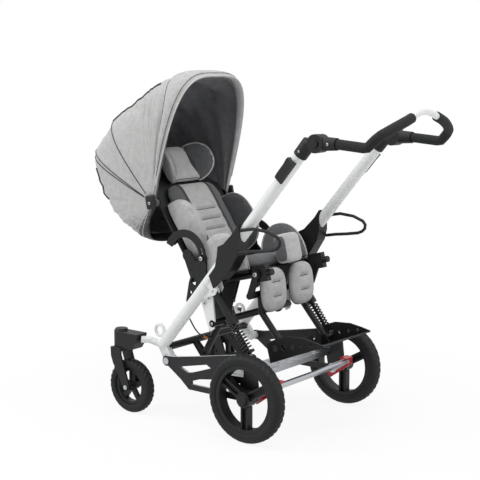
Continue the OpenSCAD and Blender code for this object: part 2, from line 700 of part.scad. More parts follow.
// Foot brake: a bar across the back on two arms that turn on the rear axle, with red pedals
brake_in = 17.5;
brake_x = half_w - brake_in;
brake_arm_t = 6;
brake_bar_d = 14;
brake_back = 62;
brake_up = 36;
brake_hub_d = 34;
pedal_t = 7;
pedal_w = 30;
pedal_heel = 20;
brake_at = [-brake_back, axle_z + brake_up];
module brake_bar() color(silver) difference() {
    union() {
        bar_x(brake_at, -brake_x - brake_arm_t, brake_x + brake_arm_t, brake_bar_d);
        pair() {
            bar_x([0, axle_z], brake_x, brake_x + brake_arm_t, brake_hub_d);
            bar_x(brake_at, brake_x, brake_x + brake_arm_t, brake_bar_d * 1.5);
            plate_x(brake_x, brake_arm_t, [
                [0, axle_z + brake_hub_d / 2], [-brake_back, axle_z + brake_up + brake_bar_d * 0.7],
                [-brake_back, axle_z + brake_up - brake_bar_d * 0.7], [0, axle_z - brake_hub_d / 2]
            ]);
        }
    }
    bar_x([0, axle_z], -brake_x - 2 * brake_arm_t, brake_x + 2 * brake_arm_t, axle_d + run_fit);
}
module brake_pedals() color(pedal_red) pair() difference() {
    x0 = brake_x + brake_arm_t;
    union() {
        plate_x(x0, pedal_t, [
            [-brake_back - pedal_w / 2, axle_z + brake_up + pedal_w / 3],
            [-brake_back + pedal_w / 2, axle_z + brake_up + pedal_w * 0.45],
            [pedal_heel + pedal_w / 3, axle_z - pedal_heel],
            [pedal_heel - pedal_w / 3, axle_z - pedal_heel * 1.8],
            [-brake_back - pedal_w / 2, axle_z + brake_up - pedal_w / 3]
        ]);
        translate([x0 - pedal_w, -brake_back - pedal_w / 2, axle_z + brake_up + brake_bar_d * 0.75 + gap])
            cube([pedal_w + pedal_t, pedal_w, pedal_t / 2]);
    }
    bar_x([0, axle_z], x0 - over, x0 + 2 * pedal_t, brake_hub_d * 0.6);
}

// Push tubes with the upper fold cheeks
push_gap = 1;
push_from = lower_len + push_gap;
cheek_run = 46;
module push_tubes() color(white_paint) pair() on_tube_axis() difference() {
    union() {
        translate([0, 0, push_from]) cylinder(h = push_len, d = tube_d);
        for (x0 = [push_cheek_x, -push_cheek_x - push_cheek_t]) {
            translate([x0, 0, 0]) bar_x([-pin_rear, lower_len + pin_up], 0, push_cheek_t, knuckle_d);
            plate_x(x0, push_cheek_t, [
                [-pin_rear - knuckle_d / 2, lower_len + pin_up], [-tube_d / 4, push_from],
                [-tube_d / 4, lower_len + pin_up + cheek_run],
                [-pin_rear - knuckle_d / 3, lower_len + pin_up + cheek_run / 2]
            ]);
        }
    }
    translate([0, 0, push_from - over]) cylinder(h = push_len + 2 * over, d = tube_d - 2 * tube_wall);
    bar_x([-pin_rear, lower_len + pin_up], -2 * push_cheek_x, 2 * push_cheek_x, fold_pin_d + run_fit);
}

// Fold covers: moulded shells round the rear of the push tubes, with a D-shaped carrying loop
cover_w = 50;
cover_out = 3;
cover_h = 240;
cover_deep = 52;
cover_lift = 26;
cover_shares = [
    [0.42, 1.0], [0.36, 0.86], [0.46, 0.6], [0.68, 0.5], [0.34, 0.39], [0, 0.25], [0, 0.08],
    [-0.78, 0.0], [-0.98, 0.38], [-0.82, 0.64], [-0.5, 0.78]
];
loop_d = 11;
loop_x = 25;
loop_shares = [
    [0.05, 0.95], [-0.6, 1.12], [-1.45, 1.25], [-2.2, 1.31], [-2.5, 1.3], [-2.65, 1.25],
    [-2.62, 1.19], [-2.45, 1.12], [-1.85, 0.97], [-1.25, 0.83], [-0.75, 0.7]
];
module fold_covers() color(black_plastic) pair() on_tube_axis() {
    z0 = lower_len + cover_lift;
    slot_half = push_cheek_x + push_cheek_t + gap;
    difference() {
        plate_x(-cover_w / 2 + cover_out, cover_w, [
            for (p = cover_shares) [p[0] * cover_deep, z0 + p[1] * cover_h]
        ]);
        translate([0, 0, push_from]) cylinder(h = push_len, d = tube_d + gap);
        translate([-slot_half, -2 * cover_deep, 0])
            cube([2 * slot_half, 2 * cover_deep - tube_d / 4, lower_len + pin_up + cheek_run + knuckle_d / 2]);
    }
    sweep([for (p = loop_shares) [loop_x, p[0] * cover_deep, z0 + p[1] * cover_h]], loop_d, 10, [1, 0, 0]);
}

// Handle hinges: the fixed halves on the push tubes, with a well for the release button
boot_d = 47;
boot_len = 54;
boot_over = 24;
hinge_d = 58;
hinge_half = 22;
hinge_pin_d = 14;
hinge_along = 74;
hinge_rear = 26;
hinge_at = on_tube(lower_len + push_len, 0) + turn_yz([-hinge_rear, hinge_along - boot_over], tube_lean);
button_d = 24;
button_well = 9;
button_proud = 4;
button_travel = 3.5;
module handle_hinges() color(black_plastic) pair() difference() {
    union() {
        difference() {
            on_tube_axis() translate([0, 0, push_from + push_len - boot_over])
                cylinder(h = boot_len, d1 = boot_d - over, d2 = boot_d);
            bar_x(hinge_at, 0, half_w + gap, hinge_d + 2 * gap);
        }
        bar_x(hinge_at, half_w + gap, half_w + hinge_half, hinge_d);
        bar_x(hinge_at, half_w - hinge_half, half_w + over, hinge_pin_d);
    }
    on_tube_axis() translate([0, 0, push_from]) cylinder(h = push_len, d = tube_d + gap / 2);
    bar_x(hinge_at, half_w + hinge_half - button_well, half_w + hinge_half + over, button_d + gap);
}
module handle_button(left) color(black_steel) side(left) {
    face_x = half_w + hinge_half;
    bar_x(hinge_at, face_x - button_well + button_travel + gap, face_x + button_proud, button_d - gap);
}

// Fold triggers: thumb slides on the push tubes below the handle hinges
trigger_from = 474;
trigger_len = 86;
trigger_w = 30;
trigger_h = 9;
trigger_turn = 4;
trigger_shares = [
    [-1, 0], [0.3, 0], [0.8, 0.08], [1, 0.25], [1, 0.7], [1.4, 0.86], [1.4, 0.96], [1.1, 1], [-1, 1]
];
module fold_trigger(left) color(black_plastic) side(left) on_tube_axis() rotate([0, 0, trigger_turn])
    difference() {
        translate([0, trigger_w / 2, lower_len + trigger_from]) rotate([90, 0, 0]) linear_extrude(trigger_w)
            polygon([for (p = trigger_shares) [tube_d / 2 + p[0] * trigger_h, p[1] * trigger_len]]);
        translate([0, 0, push_from]) cylinder(h = push_len, d = tube_d + gap);
    }

// Push handle: a bent tube with foam grips on its bends, clamped in two knuckles
handle_d = 22;
grip_d = 32;
knuckle_end_d = 38;
handle_fall = 8;
knuckle_len = 70;
knuckle_seat = 1.6;
bend_back = 172;
bend_r = 66;
top_back = 236;
top_up = 96;
white_half = 66;
knuckle_end = hinge_at + [-knuckle_len, 0];
// The right half of the handle's centre line: back from the hinge, round the bend, then up to the middle
function handle_point(t) =
    let (straight_share = 0.34, bend_share = 0.66, u = (t - straight_share) / (1 - straight_share))
    t < straight_share
        ? [half_w,
           hinge_at[0] - knuckle_len - (bend_back - knuckle_len) * t / straight_share,
           hinge_at[1] - handle_fall * t / straight_share]
        : let (a = 90 * min(1, u / bend_share * 1.1), run = half_w - bend_r, v = max(0, (u - 0.22) / 0.78))
          [half_w - bend_r * (1 - cos(a)) - run * v,
           hinge_at[0] - bend_back - (top_back - bend_back) * sin(a),
           hinge_at[1] - handle_fall + (top_up + handle_fall) * sin(90 * u)];
handle_steps = 20;
handle_half = [for (i = [0 : handle_steps]) handle_point(i / handle_steps)];
handle_path = concat(handle_half, [
    for (i = [handle_steps - 1 : -1 : 0]) [-handle_half[i][0], handle_half[i][1], handle_half[i][2]]
]);
grip_path = [for (p = handle_half) if (p[0] > white_half) p];
handle_ref = [0, 0.3, 1];
module handle_tube() color(white_paint) sweep(handle_path, handle_d, 12, handle_ref);
module handle_grips() color(black_plastic) pair() sleeve(grip_path, grip_d, handle_d + 2 * gap, 12, handle_ref);
module handle_knuckles() color(black_plastic) pair() difference() {
    union() {
        bar_x(hinge_at, half_w - hinge_half, half_w, hinge_d - over);
        difference() {
            rod([half_w, hinge_at[0], hinge_at[1]], [half_w, knuckle_end[0] + knuckle_seat, knuckle_end[1]],
                hinge_d * 0.8, knuckle_end_d);
            bar_x(hinge_at, half_w - gap, half_w + 2 * hinge_half, hinge_d + 2 * gap);
        }
    }
    bar_x(hinge_at, 0, half_w + over, hinge_pin_d + run_fit);
}

// Gas spring that holds the seat tilt, left of the middle
gas_top_in = [34, 54];
gas_top = tilt_pin + gas_top_in;
gas_run = gas_top - gas_low;
gas_len = norm(gas_run);
gas_lean = atan2(-gas_run[0], gas_run[1]);
gas_body_d = 24;
gas_body_end = 132;
gas_head_d = 16;
gas_head_h = 14;
gas_rod_d = 10;
gas_stroke = 40;
gas_eye_d = 22;
gas_eye_play = 2.2;
gas_foot = 18;
lever_t = 8;
lever_at = 82;
module on_gas() translate([gas_x, gas_low[0], gas_low[1]]) rotate([gas_lean, 0, 0]) children();
module gas_cylinder() color(black_plastic) on_gas() difference() {
    union() {
        bar_x([0, 0], -gas_eye_w / 2, gas_eye_w / 2, gas_eye_d);
        cylinder(h = gas_foot + over, d = gas_eye_w);
        translate([0, 0, gas_foot]) cylinder(h = gas_body_end - gas_foot, d = gas_body_d);
        translate([0, 0, gas_body_end]) cylinder(h = gas_head_h, d = gas_head_d);
        translate([-lever_len, -lever_t / 2, lever_at - lever_t / 2]) cube([lever_len, lever_t, lever_t]);
    }
    bar_x([0, 0], -gas_eye_w, gas_eye_w, gas_pin_d + run_fit);
    translate([0, 0, gas_body_end + gas_head_h - gas_stroke - gas_foot - gas_foot])
        cylinder(h = gas_stroke + 3 * gas_foot, d = gas_rod_d + 2 * run_fit);
}
module gas_rod() color(silver) on_gas() difference() {
    union() {
        translate([0, 0, gas_body_end + gas_head_h - gas_foot])
            cylinder(h = gas_len - gas_body_end - gas_head_h + gas_foot - gas_eye_d / 3, d = gas_rod_d);
        bar_x([0, gas_len], -gas_eye_w / 2, gas_eye_w / 2, gas_eye_d);
    }
    bar_x([0, gas_len], -gas_eye_w, gas_eye_w, gas_pin_d + 2 * gas_eye_play);
}

// Seat frame: pan with side rails, ears on the tilt tube, ears for the gas spring, side plates and pommel post
pan_t = 5;
rail_d = 22;
rail_in = 27;
rail_x = seat_w / 2 - rail_in;
ear_t = 8;
ear_in = 39;
ear_x = seat_w / 2 - ear_in;
sleeve_d = 40;
ear_half = 52;
side_plate_t = 5;
side_plate_w = 40;
post_w = 36;
post_t = 8;
knee_ear_t = 6;
knee_pin_d = 12;
module seat_frame() color(black_steel) difference() {
    union() {
        on_seat_frame() {
            translate([-seat_w / 2, -seat_depth, -pan_t]) cube([seat_w, seat_depth, pan_t]);
            for (x = [-rail_x, rail_x]) translate([x, -over, -pan_t - rail_d / 2 + over]) rotate([90, 0, 0])
                cylinder(h = seat_depth - 2 * over, d = rail_d);
            translate([-post_w / 2, -seat_depth - post_t - pommel_d / 2, -pan_t])
                cube([post_w, pommel_d / 2 + 2 * post_t, pan_t]);
        }
        pair() {
            bar_x(tilt_pin, ear_x, ear_x + ear_t, sleeve_d);
            plate_x(ear_x, ear_t, [
                tilt_pin + [sleeve_d * 0.46, 0], on_seat(-seat_depth / 2 + 2 * ear_half, -pan_t + over),
                on_seat(-seat_depth / 2 - ear_half, -pan_t + over), tilt_pin - [sleeve_d * 0.46, 0]
            ]);
            plate_x(seat_w / 2 - side_plate_t, side_plate_t, [
                on_seat(-2 * side_plate_w, -pan_t + over), on_seat(-over, -pan_t + over),
                recline_pin + [side_plate_w * 0.46, 0], recline_pin - [side_plate_w * 0.46, 0]
            ]);
            bar_x(recline_pin, seat_w / 2 - side_plate_t, seat_w / 2, side_plate_w);
            bar_x(recline_pin, back_w / 2 - 3 * side_plate_t, seat_w / 2 - over, recline_pin_d - 2 * run_fit);
        }
        for (s = [-1, 1]) translate([gas_x + s * (gas_eye_w / 2 + gas_ear_t / 2 + gap) - gas_ear_t / 2, 0, 0]) {
            bar_x(gas_top, 0, gas_ear_t, gas_ear_d);
            plate_x(0, gas_ear_t, [
                gas_top + [gas_ear_d * 0.46, 0], on_seat(-seat_depth / 5, -pan_t + over),
                on_seat(-seat_depth / 2, -pan_t + over), gas_top - [gas_ear_d * 0.46, 0]
            ]);
        }
        bar_x(gas_top, gas_x - gas_eye_w, gas_x + gas_eye_w, gas_pin_d);
    }
    bar_x(tilt_pin, -half_w, half_w, tilt_tube_d + run_fit);
}

// Recline brackets on the sides of the seat, each with a clamp pin for the arc
bracket_t = 6;
bracket_len = 2 * recline_up;
bracket_w = 62;
bracket_lean = 23;
bracket_top = 26;
bracket_foot = 24;
bracket_hole_w = 26;
bracket_slot_w = 11;
clamp_r = 77;
clamp_angle = 181;
clamp_pin_d = 8;
clamp_at = recline_pin + clamp_r * [cos(clamp_angle), sin(clamp_angle)];
function on_bracket(across, down) = clamp_at + turn_yz([across, -down], bracket_lean);
module recline_brackets() color(black_plastic) pair() {
    x0 = seat_w / 2;
    difference() {
        union() {
            bar_x(clamp_at, x0, x0 + bracket_t, bracket_top);
            bar_x(on_bracket(0, bracket_len - bracket_foot / 2), x0, x0 + bracket_t, bracket_foot);
            plate_x(x0, bracket_t, [
                on_bracket(-bracket_top / 2, 0), on_bracket(bracket_top / 2, 0),
                on_bracket(bracket_w * 0.42, bracket_len * 0.34), on_bracket(bracket_w * 0.4, bracket_len * 0.6),
                on_bracket(bracket_foot / 2, bracket_len - bracket_foot / 2),
                on_bracket(-bracket_foot / 2, bracket_len - bracket_foot / 2),
                on_bracket(-bracket_w * 0.62, bracket_len * 0.62), on_bracket(-bracket_w * 0.66, bracket_len * 0.36)
            ]);
        }
        bar_x(on_bracket(bracket_w * 0.08, bracket_len * 0.52), x0 - over, x0 + bracket_t + over, bracket_hole_w);
        bar_x(on_bracket(bracket_w * 0.06, bracket_len * 0.76), x0 - over, x0 + bracket_t + over, bracket_slot_w);
        bar_x(on_bracket(-bracket_w * 0.3, bracket_len * 0.68), x0 - over, x0 + bracket_t + over, bracket_slot_w);
    }
    bar_x(clamp_at, x0 + bracket_t, x0 + 2 * bracket_t + 2 * gap, clamp_pin_d);
    bar_x(clamp_at, x0 + 2 * bracket_t + 2 * gap, x0 + 3 * bracket_t, clamp_pin_d * 2);
}

// Seat cushion, hip pads and pommel
seat_pad_in = 27;
seat_pad_w = seat_w - 2 * seat_pad_in;
seat_pad_back = 14;
seat_pad_front = 4;
channel_deep = 6;
hip_r = 106;
hip_reach = 138;
hip_t = 19;
hip_ahead = 143;
hip_in = 6;
pommel_w = 96;
pommel_d = 64;
pommel_h = 100;
pommel_edge_power = 0.3;
pommel_crown_power = 0.55;
module seat_cushion() color(dark_cloth) on_seat_frame() {
    long = seat_depth - seat_pad_back + seat_pad_front;
    translate([0, -seat_pad_back - long / 2, gap])
        roll_cushion(seat_pad_w, long, seat_pad_t, 30, 24, [for (s = [-1, 1]) s * long / 6], channel_deep);
}
module hip_pads() color(dark_cloth) pair() on_seat_frame()
    translate([seat_w / 2 - hip_t - hip_in, -hip_ahead, gap + hip_r * pad_flat_share]) rotate([90, 0, 90])
        cushion(2 * hip_r, hip_reach, hip_r * pad_flat_share, hip_t, 2.2);
module pommel() color(light_cloth) on_seat_frame()
    translate([0, -seat_depth - pommel_d / 2 - post_t / 2, gap])
        cushion(pommel_w, pommel_d / 2, pommel_d / 2, pommel_h, 4, pommel_edge_power, pommel_crown_power);

// Leg hangers: blocks at the knee axis, with a clamp knob each
hanger_w = 22;
hanger_in = 13;
hanger_x = seat_w / 2 - hanger_in;
hanger_l = 58;
hanger_h = 54;
knob_d = 22;
knob_len = 20;
module leg_hangers() color(black_plastic) pair() {
    on_seat_frame() translate([hanger_x - hanger_w + gap, -seat_depth - hanger_l, -knee_drop - hanger_h / 2])
        cube([hanger_w, hanger_l - gap, hanger_h]);
    on_seat_frame() translate([hanger_x - hanger_w / 2, -seat_depth - hanger_l + over, -knee_drop])
        rotate([90, 0, 0]) cylinder(h = knob_len, d = knob_d);
    bar_x(knee_pin, hanger_x, hanger_x + 2 * knee_ear_t, knee_pin_d);
}

// Backrest shell with hinge ears, lugs for the arcs and a narrower head part
shell_low = 38;
head_half = 66;
head_top = back_len - shell_low;
shoulder_up = 262;
neck_up = 318;
ear_deep = 34;
arc_r_in = 63.5;
arc_r_out = 90.5;
arc_t = 6;
arc_from = 24;
arc_to = 189;
arc_bolt_angle = 30;
arc_bolt_d = 14;
arc_x = seat_w / 2 + bracket_t + gap;
module back_shell() color(black_plastic) difference() {
    union() {
        on_back_frame() translate([0, shell_back + shell_t, 0]) rotate([90, 0, 0]) linear_extrude(shell_t) polygon([
            [-back_w / 2 + shell_t, -shell_low], [back_w / 2 - shell_t, -shell_low],
            [back_w / 2, 0], [back_w / 2, shoulder_up], [head_half * 1.5, neck_up],
            [head_half, head_top - head_half / 2], [head_half / 2, head_top],
            [-head_half / 2, head_top], [-head_half, head_top - head_half / 2],
            [-head_half * 1.5, neck_up], [-back_w / 2, shoulder_up], [-back_w / 2, 0]
        ]);
        pair() on_back_frame() {
            bar_x([0, 0], back_w / 2 - side_plate_t, back_w / 2, ear_deep);
            translate([back_w / 2 - side_plate_t, 0, -ear_deep / 2])
                cube([side_plate_t, shell_back + shell_t / 2, ear_deep]);
        }
        pair() {
            bolt = recline_pin + clamp_r * [cos(arc_bolt_angle), sin(arc_bolt_angle)];
            bar_x(bolt, back_w / 2 - side_plate_t, arc_x, arc_bolt_d * 1.5);
            on_back_frame() translate([back_w / 2 - side_plate_t, shell_back, clamp_r - ear_deep / 2])
                cube([side_plate_t, ear_deep * 0.7, ear_deep]);
        }
    }
    bar_x(recline_pin, -back_w, back_w, recline_pin_d + run_fit);
}
module on_arc(x) translate([x, recline_pin[0], recline_pin[1]]) rotate([90, 0, 90]) children();
module recline_arcs() color(black_plastic) pair() difference() {
    on_arc(arc_x) linear_extrude(arc_t) difference() {
        circle(r = arc_r_out);
        circle(r = arc_r_in);
        rotate(arc_to) square([2 * arc_r_out, 2 * arc_r_out]);
        rotate(arc_to + 90) square([2 * arc_r_out, 2 * arc_r_out]);
        rotate(arc_from - 90) square([2 * arc_r_out, 2 * arc_r_out]);
    }
    on_arc(arc_x - over) linear_extrude(arc_t + 2 * over) difference() {
        circle(r = clamp_r + clamp_pin_d / 2 + gap);
        circle(r = clamp_r - clamp_pin_d / 2 - gap);
        rotate(clamp_angle + 6) square([2 * arc_r_out, 2 * arc_r_out]);
        rotate(clamp_angle + 96) square([2 * arc_r_out, 2 * arc_r_out]);
        rotate(clamp_angle - 116) square([2 * arc_r_out, 2 * arc_r_out]);
        rotate(clamp_angle - 164) square([2 * arc_r_out, 2 * arc_r_out]);
    }
}

// Cushions of the backrest
back_pad_in = 41;
back_pad_w = back_w - 2 * back_pad_in;
back_pad_top = 274;
back_pad_low = 30;
head_pad_top = 424;
head_pad_w = 116;
head_wing_r = 88;
head_wing_w = 150;
head_wing_t = 26;
head_wing_turn = 34;
head_wing_x = 62;
thorax_reach = 106;
thorax_len = 228;
thorax_t = 20;
thorax_x = back_pad_w / 2 + over;
thorax_mid = 90;
module back_cushion() color(light_cloth) on_back_frame() {
    long = back_pad_top + back_pad_low;
    translate([0, shell_back - gap, long / 2 - back_pad_low]) rotate([90, 0, 0])
        roll_cushion(back_pad_w, long, back_pad_t, 32, 24, [for (k = [-2 : 1]) k * long / 9], channel_deep);
}
module head_cushion() color(light_cloth) on_back_frame() {
    long = head_pad_top - back_pad_top - 2 * gap;
    translate([0, shell_back - gap, back_pad_top + 2 * gap + long / 2]) rotate([90, 0, 0])
        cushion(head_pad_w, long / 2, long / 2, back_pad_t, 5);
}
module head_pads() color(dark_cloth) pair() on_back_frame()
    translate([head_wing_x, shell_back - back_pad_t / 2, (back_pad_top + head_pad_top) / 2])
        rotate([0, 0, head_wing_turn]) rotate([180, -90, 0])
            cushion(head_wing_w, head_wing_r, head_wing_r * pad_flat_share, head_wing_t, 2.2);
module thoracic_pads() color(dark_cloth) pair() on_back_frame()
    translate([thorax_x, shell_back - gap - thorax_reach * pad_flat_share, thorax_mid]) rotate([180, -90, 0])
        cushion(thorax_len, thorax_reach, thorax_reach * pad_flat_share, thorax_t, 2.4);

// Canopy: bows that turn on one pair of hinges, with fabric from bow to bow and a fixed skirt behind.
// Angles run back from upright, in degrees.
front_angle = -13;
brim_angle = -16;
mid_angle = 43;
rear_angle = 64;
skirt_angle = 160;
canopy_square = 3.6;
arch_steps = 28;
half_turn = 180;
hood_angle_shares = [
    [-16, 0.99], [-13, 1.0], [3, 0.95], [16, 0.885], [26, 0.855], [43, 0.855], [54, 0.85],
    [64, 0.84], [74, 0.82], [82, 0.76], [93, 0.675], [125, 0.475], [160, 0.37]
];
function hood_reach(a) = canopy_h * lookup(a, hood_angle_shares);
function arch_point(a, k, w, h) =
    let (t = half_turn * k / arch_steps, r = h * spow(sin(t), 2 / canopy_square))
    [w * spow(cos(t), 2 / canopy_square), canopy_pin[0] + r * sin(a), canopy_pin[1] + r * cos(a)];
function sheet_faces(steps, n, first, out) = [
    for (i = [0 : steps - 1], k = [0 : n - 2])
        let (a = first + i * n + k, c = a + n)
        each (out ? [[a, a + 1, c + 1], [a, c + 1, c]] : [[a, c + 1, a + 1], [a, c, c + 1]])
];
function hem_faces(edge, grid, out) = [
    for (k = [0 : len(edge) - 2])
        let (a = edge[k], b = edge[k + 1], c = grid + a, d = grid + b)
        each (out ? [[a, b, d], [a, d, c]] : [[a, d, b], [a, c, d]])
];
module hood_panel(a0, a1, steps, half, low) {
    n = arch_steps + 1;
    grid = (steps + 1) * n;
    angles = [for (i = [0 : steps]) a0 + (a1 - a0) * i / steps];
    outer = [for (a = angles, k = [0 : arch_steps]) arch_point(a, k, half, hood_reach(a) - low)];
    under = low + fabric_t;
    inner = [for (a = angles, k = [0 : arch_steps]) arch_point(a, k, half - fabric_t, hood_reach(a) - under)];
    polyhedron(
        points = concat(outer, inner),
        faces = concat(
            sheet_faces(steps, n, 0, true),
            sheet_faces(steps, n, grid, false),
            hem_faces([for (k = [0 : n - 1]) k], grid, false),
            hem_faces([for (k = [0 : n - 1]) steps * n + k], grid, true),
            hem_faces([for (i = [0 : steps]) i * n], grid, true),
            hem_faces([for (i = [0 : steps]) i * n + n - 1], grid, false)
        )
    );
}
bow_d = 8;
eye_d = 26;
eye_t = 5;
hinge_disc_d = 34;
canopy_pin_d = 8;
front_eye_in = 16;
mid_eye_in = 24;
front_eye_x = canopy_half_w - front_eye_in;
mid_eye_x = canopy_half_w - mid_eye_in;
bow_start = 22;
function bow_path(a, x, reach) = [
    for (k = [1 : 1 : arch_steps - 1])
        let (p = arch_point(a, k, x, reach))
        if (norm([p[1], p[2]] - canopy_pin) > bow_start) p
];
module canopy_hinges() color(black_plastic) pair() {
    bar_x(canopy_pin, back_w / 2, mid_eye_x - eye_t / 2 - gap, hinge_disc_d);
    bar_x(canopy_pin, back_w / 2, front_eye_x + eye_t, canopy_pin_d);
}
module canopy_bow(a, x, reach) color(black_steel) {
    p = bow_path(a, x, reach);
    sweep(p, bow_d, 8, [0, cos(a), -sin(a)]);
    pair() difference() {
        union() {
            bar_x(canopy_pin, x - eye_t / 2, x + eye_t / 2, eye_d);
            rod([x, canopy_pin[0], canopy_pin[1]], p[0], eye_t, eye_t);
        }
        bar_x(canopy_pin, 0, x + eye_t, canopy_pin_d + run_fit);
    }
}
module canopy_front_bow() canopy_bow(front_angle, front_eye_x, canopy_h - 2 * bow_d);
module canopy_mid_bow() canopy_bow(mid_angle, mid_eye_x, hood_reach(mid_angle) - 2 * bow_d);
seam_gap_angle = 0.25;
// Each panel lies inside the one in front of it, so that they nest when the canopy folds back.
nest_gap = 1.2;
nest_side = fabric_t + 2 * gap;
nest_low = fabric_t + nest_gap;
module canopy_front_fabric() color(light_cloth)
    hood_panel(brim_angle, mid_angle - seam_gap_angle, 10, canopy_half_w, 0);
module canopy_mid_fabric() color(light_cloth)
    hood_panel(mid_angle + seam_gap_angle, rear_angle - seam_gap_angle, 4, canopy_half_w - nest_side, nest_low);
module canopy_rear_panel() color(light_cloth)
    hood_panel(rear_angle + seam_gap_angle, skirt_angle, 10, canopy_half_w - 2 * nest_side, 2 * nest_low);

// Legrest: side bars from the knee axis, a cross tube and two leg tubes with the ankle eyes
leg_side_t = 8;
leg_side_w = 24;
leg_cross_d = 22;
leg_cross_drop = 76;
leg_cross_back = 28;
leg_tube_d = 22;
leg_bend_drop = 140;
leg_bend_back = 22;
leg_in = 24;
leg_x = foot_w / 2 - leg_in;
ankle_d = 20;
ankle_w = leg_tube_d + over;
ankle_pin_d = 10;
leg_cross = knee_pin + [leg_cross_back, -leg_cross_drop];
leg_bend = knee_pin + [leg_bend_back, -leg_bend_drop];
module leg_frame() color(black_steel) pair() difference() {
    x0 = hanger_x + gap * 2;
    union() {
        bar_x(knee_pin, x0, x0 + leg_side_t, leg_side_w * 1.2);
        plate_x(x0, leg_side_t, [
            knee_pin + [leg_side_w / 2, 0], knee_pin - [leg_side_w / 2, 0],
            leg_cross - [leg_side_w / 2, leg_cross_d / 4], leg_cross + [leg_side_w / 2, -leg_cross_d / 4]
        ]);
        bar_x(leg_cross, 0, x0 + leg_side_t, leg_cross_d);
        rod([leg_x, leg_cross[0], leg_cross[1]], [leg_x, leg_bend[0], leg_bend[1]], leg_tube_d, leg_tube_d);
        translate([leg_x, leg_bend[0], leg_bend[1]]) sphere(d = leg_tube_d + gap);
        rod([leg_x, leg_bend[0], leg_bend[1]], [leg_x, ankle_pin[0], ankle_pin[1]], leg_tube_d, leg_tube_d);
        bar_x(ankle_pin, leg_x - ankle_w / 2, leg_x + ankle_w / 2, ankle_d * 1.2);
    }
    bar_x(knee_pin, 0, x0 + 2 * leg_side_t, knee_pin_d + run_fit);
    bar_x(ankle_pin, 0, half_w, ankle_pin_d + run_fit);
}
calf_gap = 44;
calf_mid_in = 8;
calf_w = hanger_x - calf_gap;
calf_h = 150;
calf_t = 34;
calf_x = (hanger_x - calf_mid_in) / 2;
calf_lean = 6;
calf_rise = 10;
tuft_deep = 9;
module calf_pads() color(light_cloth) pair()
    translate([calf_x, leg_cross[0] - leg_cross_d / 2 - gap + calf_rise * sin(calf_lean), leg_cross[1] + calf_rise])
        rotate([90 - calf_lean, 0, 0])
            roll_cushion(calf_w, calf_h, calf_t, 22, 20, [for (k = [-1, 1]) k * calf_h / 6], tuft_deep);

// Footplate: a one-piece tray with arched, drilled side walls and a low heel wall
foot_t = 5;
foot_wall_t = 4;
foot_wall_h = 68;
foot_heel = 60;
foot_drop = 20;
heel_wall_h = 46;
heel_wall_in = 26;
heel_half = 92;
foot_holes = 5;
foot_hole_d = 22;
foot_lug_h = 34;
foot_lug_w = 40;
foot_org = ankle_pin + turn_yz([foot_heel, -foot_drop], -foot_tilt);
wall_shares = [
    [0, 0], [0.03, 0.9], [0.18, 1.0], [0.44, 0.97], [0.7, 0.68], [0.88, 0.32], [1, 0.05], [1, 0]
];
module footplate() color(black_plastic) {
    lug_x = leg_x - ankle_w / 2 - gap - foot_wall_t;
    at_yz(foot_org) rotate([-foot_tilt, 0, 0]) {
        translate([-foot_w / 2, -foot_len, -foot_t]) cube([foot_w, foot_len, foot_t]);
        for (x0 = [-foot_w / 2, foot_w / 2 - foot_wall_t]) difference() {
            plate_x(x0, foot_wall_t, [
                for (p = wall_shares) [-p[0] * foot_len, p[1] * foot_wall_h - foot_t / 2]
            ]);
            for (k = [0 : foot_holes - 1]) {
                d = foot_hole_d * (1 - k / (foot_holes + 2));
                at = [-foot_len * (0.16 + 0.16 * k), foot_wall_h * (0.56 - 0.085 * k)];
                bar_x(at, x0 - over, x0 + foot_wall_t + over, d);
            }
        }
        translate([-heel_half, -heel_wall_in, -over]) cube([2 * heel_half, foot_wall_t, heel_wall_h]);
        pair() plate_x(lug_x, foot_wall_t, [
            [-foot_heel - foot_lug_w / 2, -over], [-foot_heel + foot_lug_w / 2, -over],
            [-foot_heel + foot_lug_w / 4, foot_lug_h], [-foot_heel - foot_lug_w / 4, foot_lug_h]
        ]);
    }
    pair() bar_x(ankle_pin, lug_x, foot_w / 2 - over, ankle_pin_d);
}

echo(spring_gap = spring_gap, spring_pitch = spring_pitch, strut_len = strut_len, strut_lean = strut_lean);
echo(fold_pin = fold_pin, swing_pin = swing_pin, tilt_pin = tilt_pin);
echo(recline_pin = recline_pin, knee_pin = knee_pin);
echo(ankle_pin = ankle_pin, canopy_pin = canopy_pin, hinge_at = hinge_at, gas_low = gas_low, gas_top = gas_top);
echo(gas_len = gas_len, gas_lean = gas_lean, strut_low = strut_low, caster_axle_y = caster_axle_y);

place() side_frame(true);  // frame_left
place() side_frame(false);  // frame_right
place() cross_tubes();
place() caster_housings();
place() frame_bolts();
place() release_cable();
place() caster_fork(true);  // caster_fork_left
place() caster_fork(false);  // caster_fork_right
place() caster_axle(true);  // caster_axle_left
place() caster_axle(false);  // caster_axle_right
place() caster_tyre(true);  // caster_tyre_left
place() caster_tyre(false);  // caster_tyre_right
place() caster_rim(true);  // caster_rim_left
place() caster_rim(false);  // caster_rim_right
place() swing_arms();
place() tread_plate();
place() rear_axle();
place() rear_tyre(true);  // rear_tyre_left
place() rear_tyre(false);  // rear_tyre_right
place() rear_rim(true);  // rear_rim_left
place() rear_rim(false);  // rear_rim_right
place() strut_cylinders();
place() strut_springs();
place() strut_rods();
place() brake_bar();
place() brake_pedals();
place() push_tubes();
place() fold_covers();
place() handle_hinges();
place() fold_trigger(true);  // fold_trigger_left
place() fold_trigger(false);  // fold_trigger_right
place() handle_tube();
place() handle_grips();
place() handle_knuckles();
place() handle_button(true);  // handle_button_left
place() handle_button(false);  // handle_button_right
place() gas_cylinder();
place() gas_rod();
place() seat_frame();
place() recline_brackets();
place() seat_cushion();
place() hip_pads();
place() pommel();
place() leg_hangers();
place() back_shell();
place() recline_arcs();
place() back_cushion();
place() head_cushion();
place() head_pads();
place() thoracic_pads();
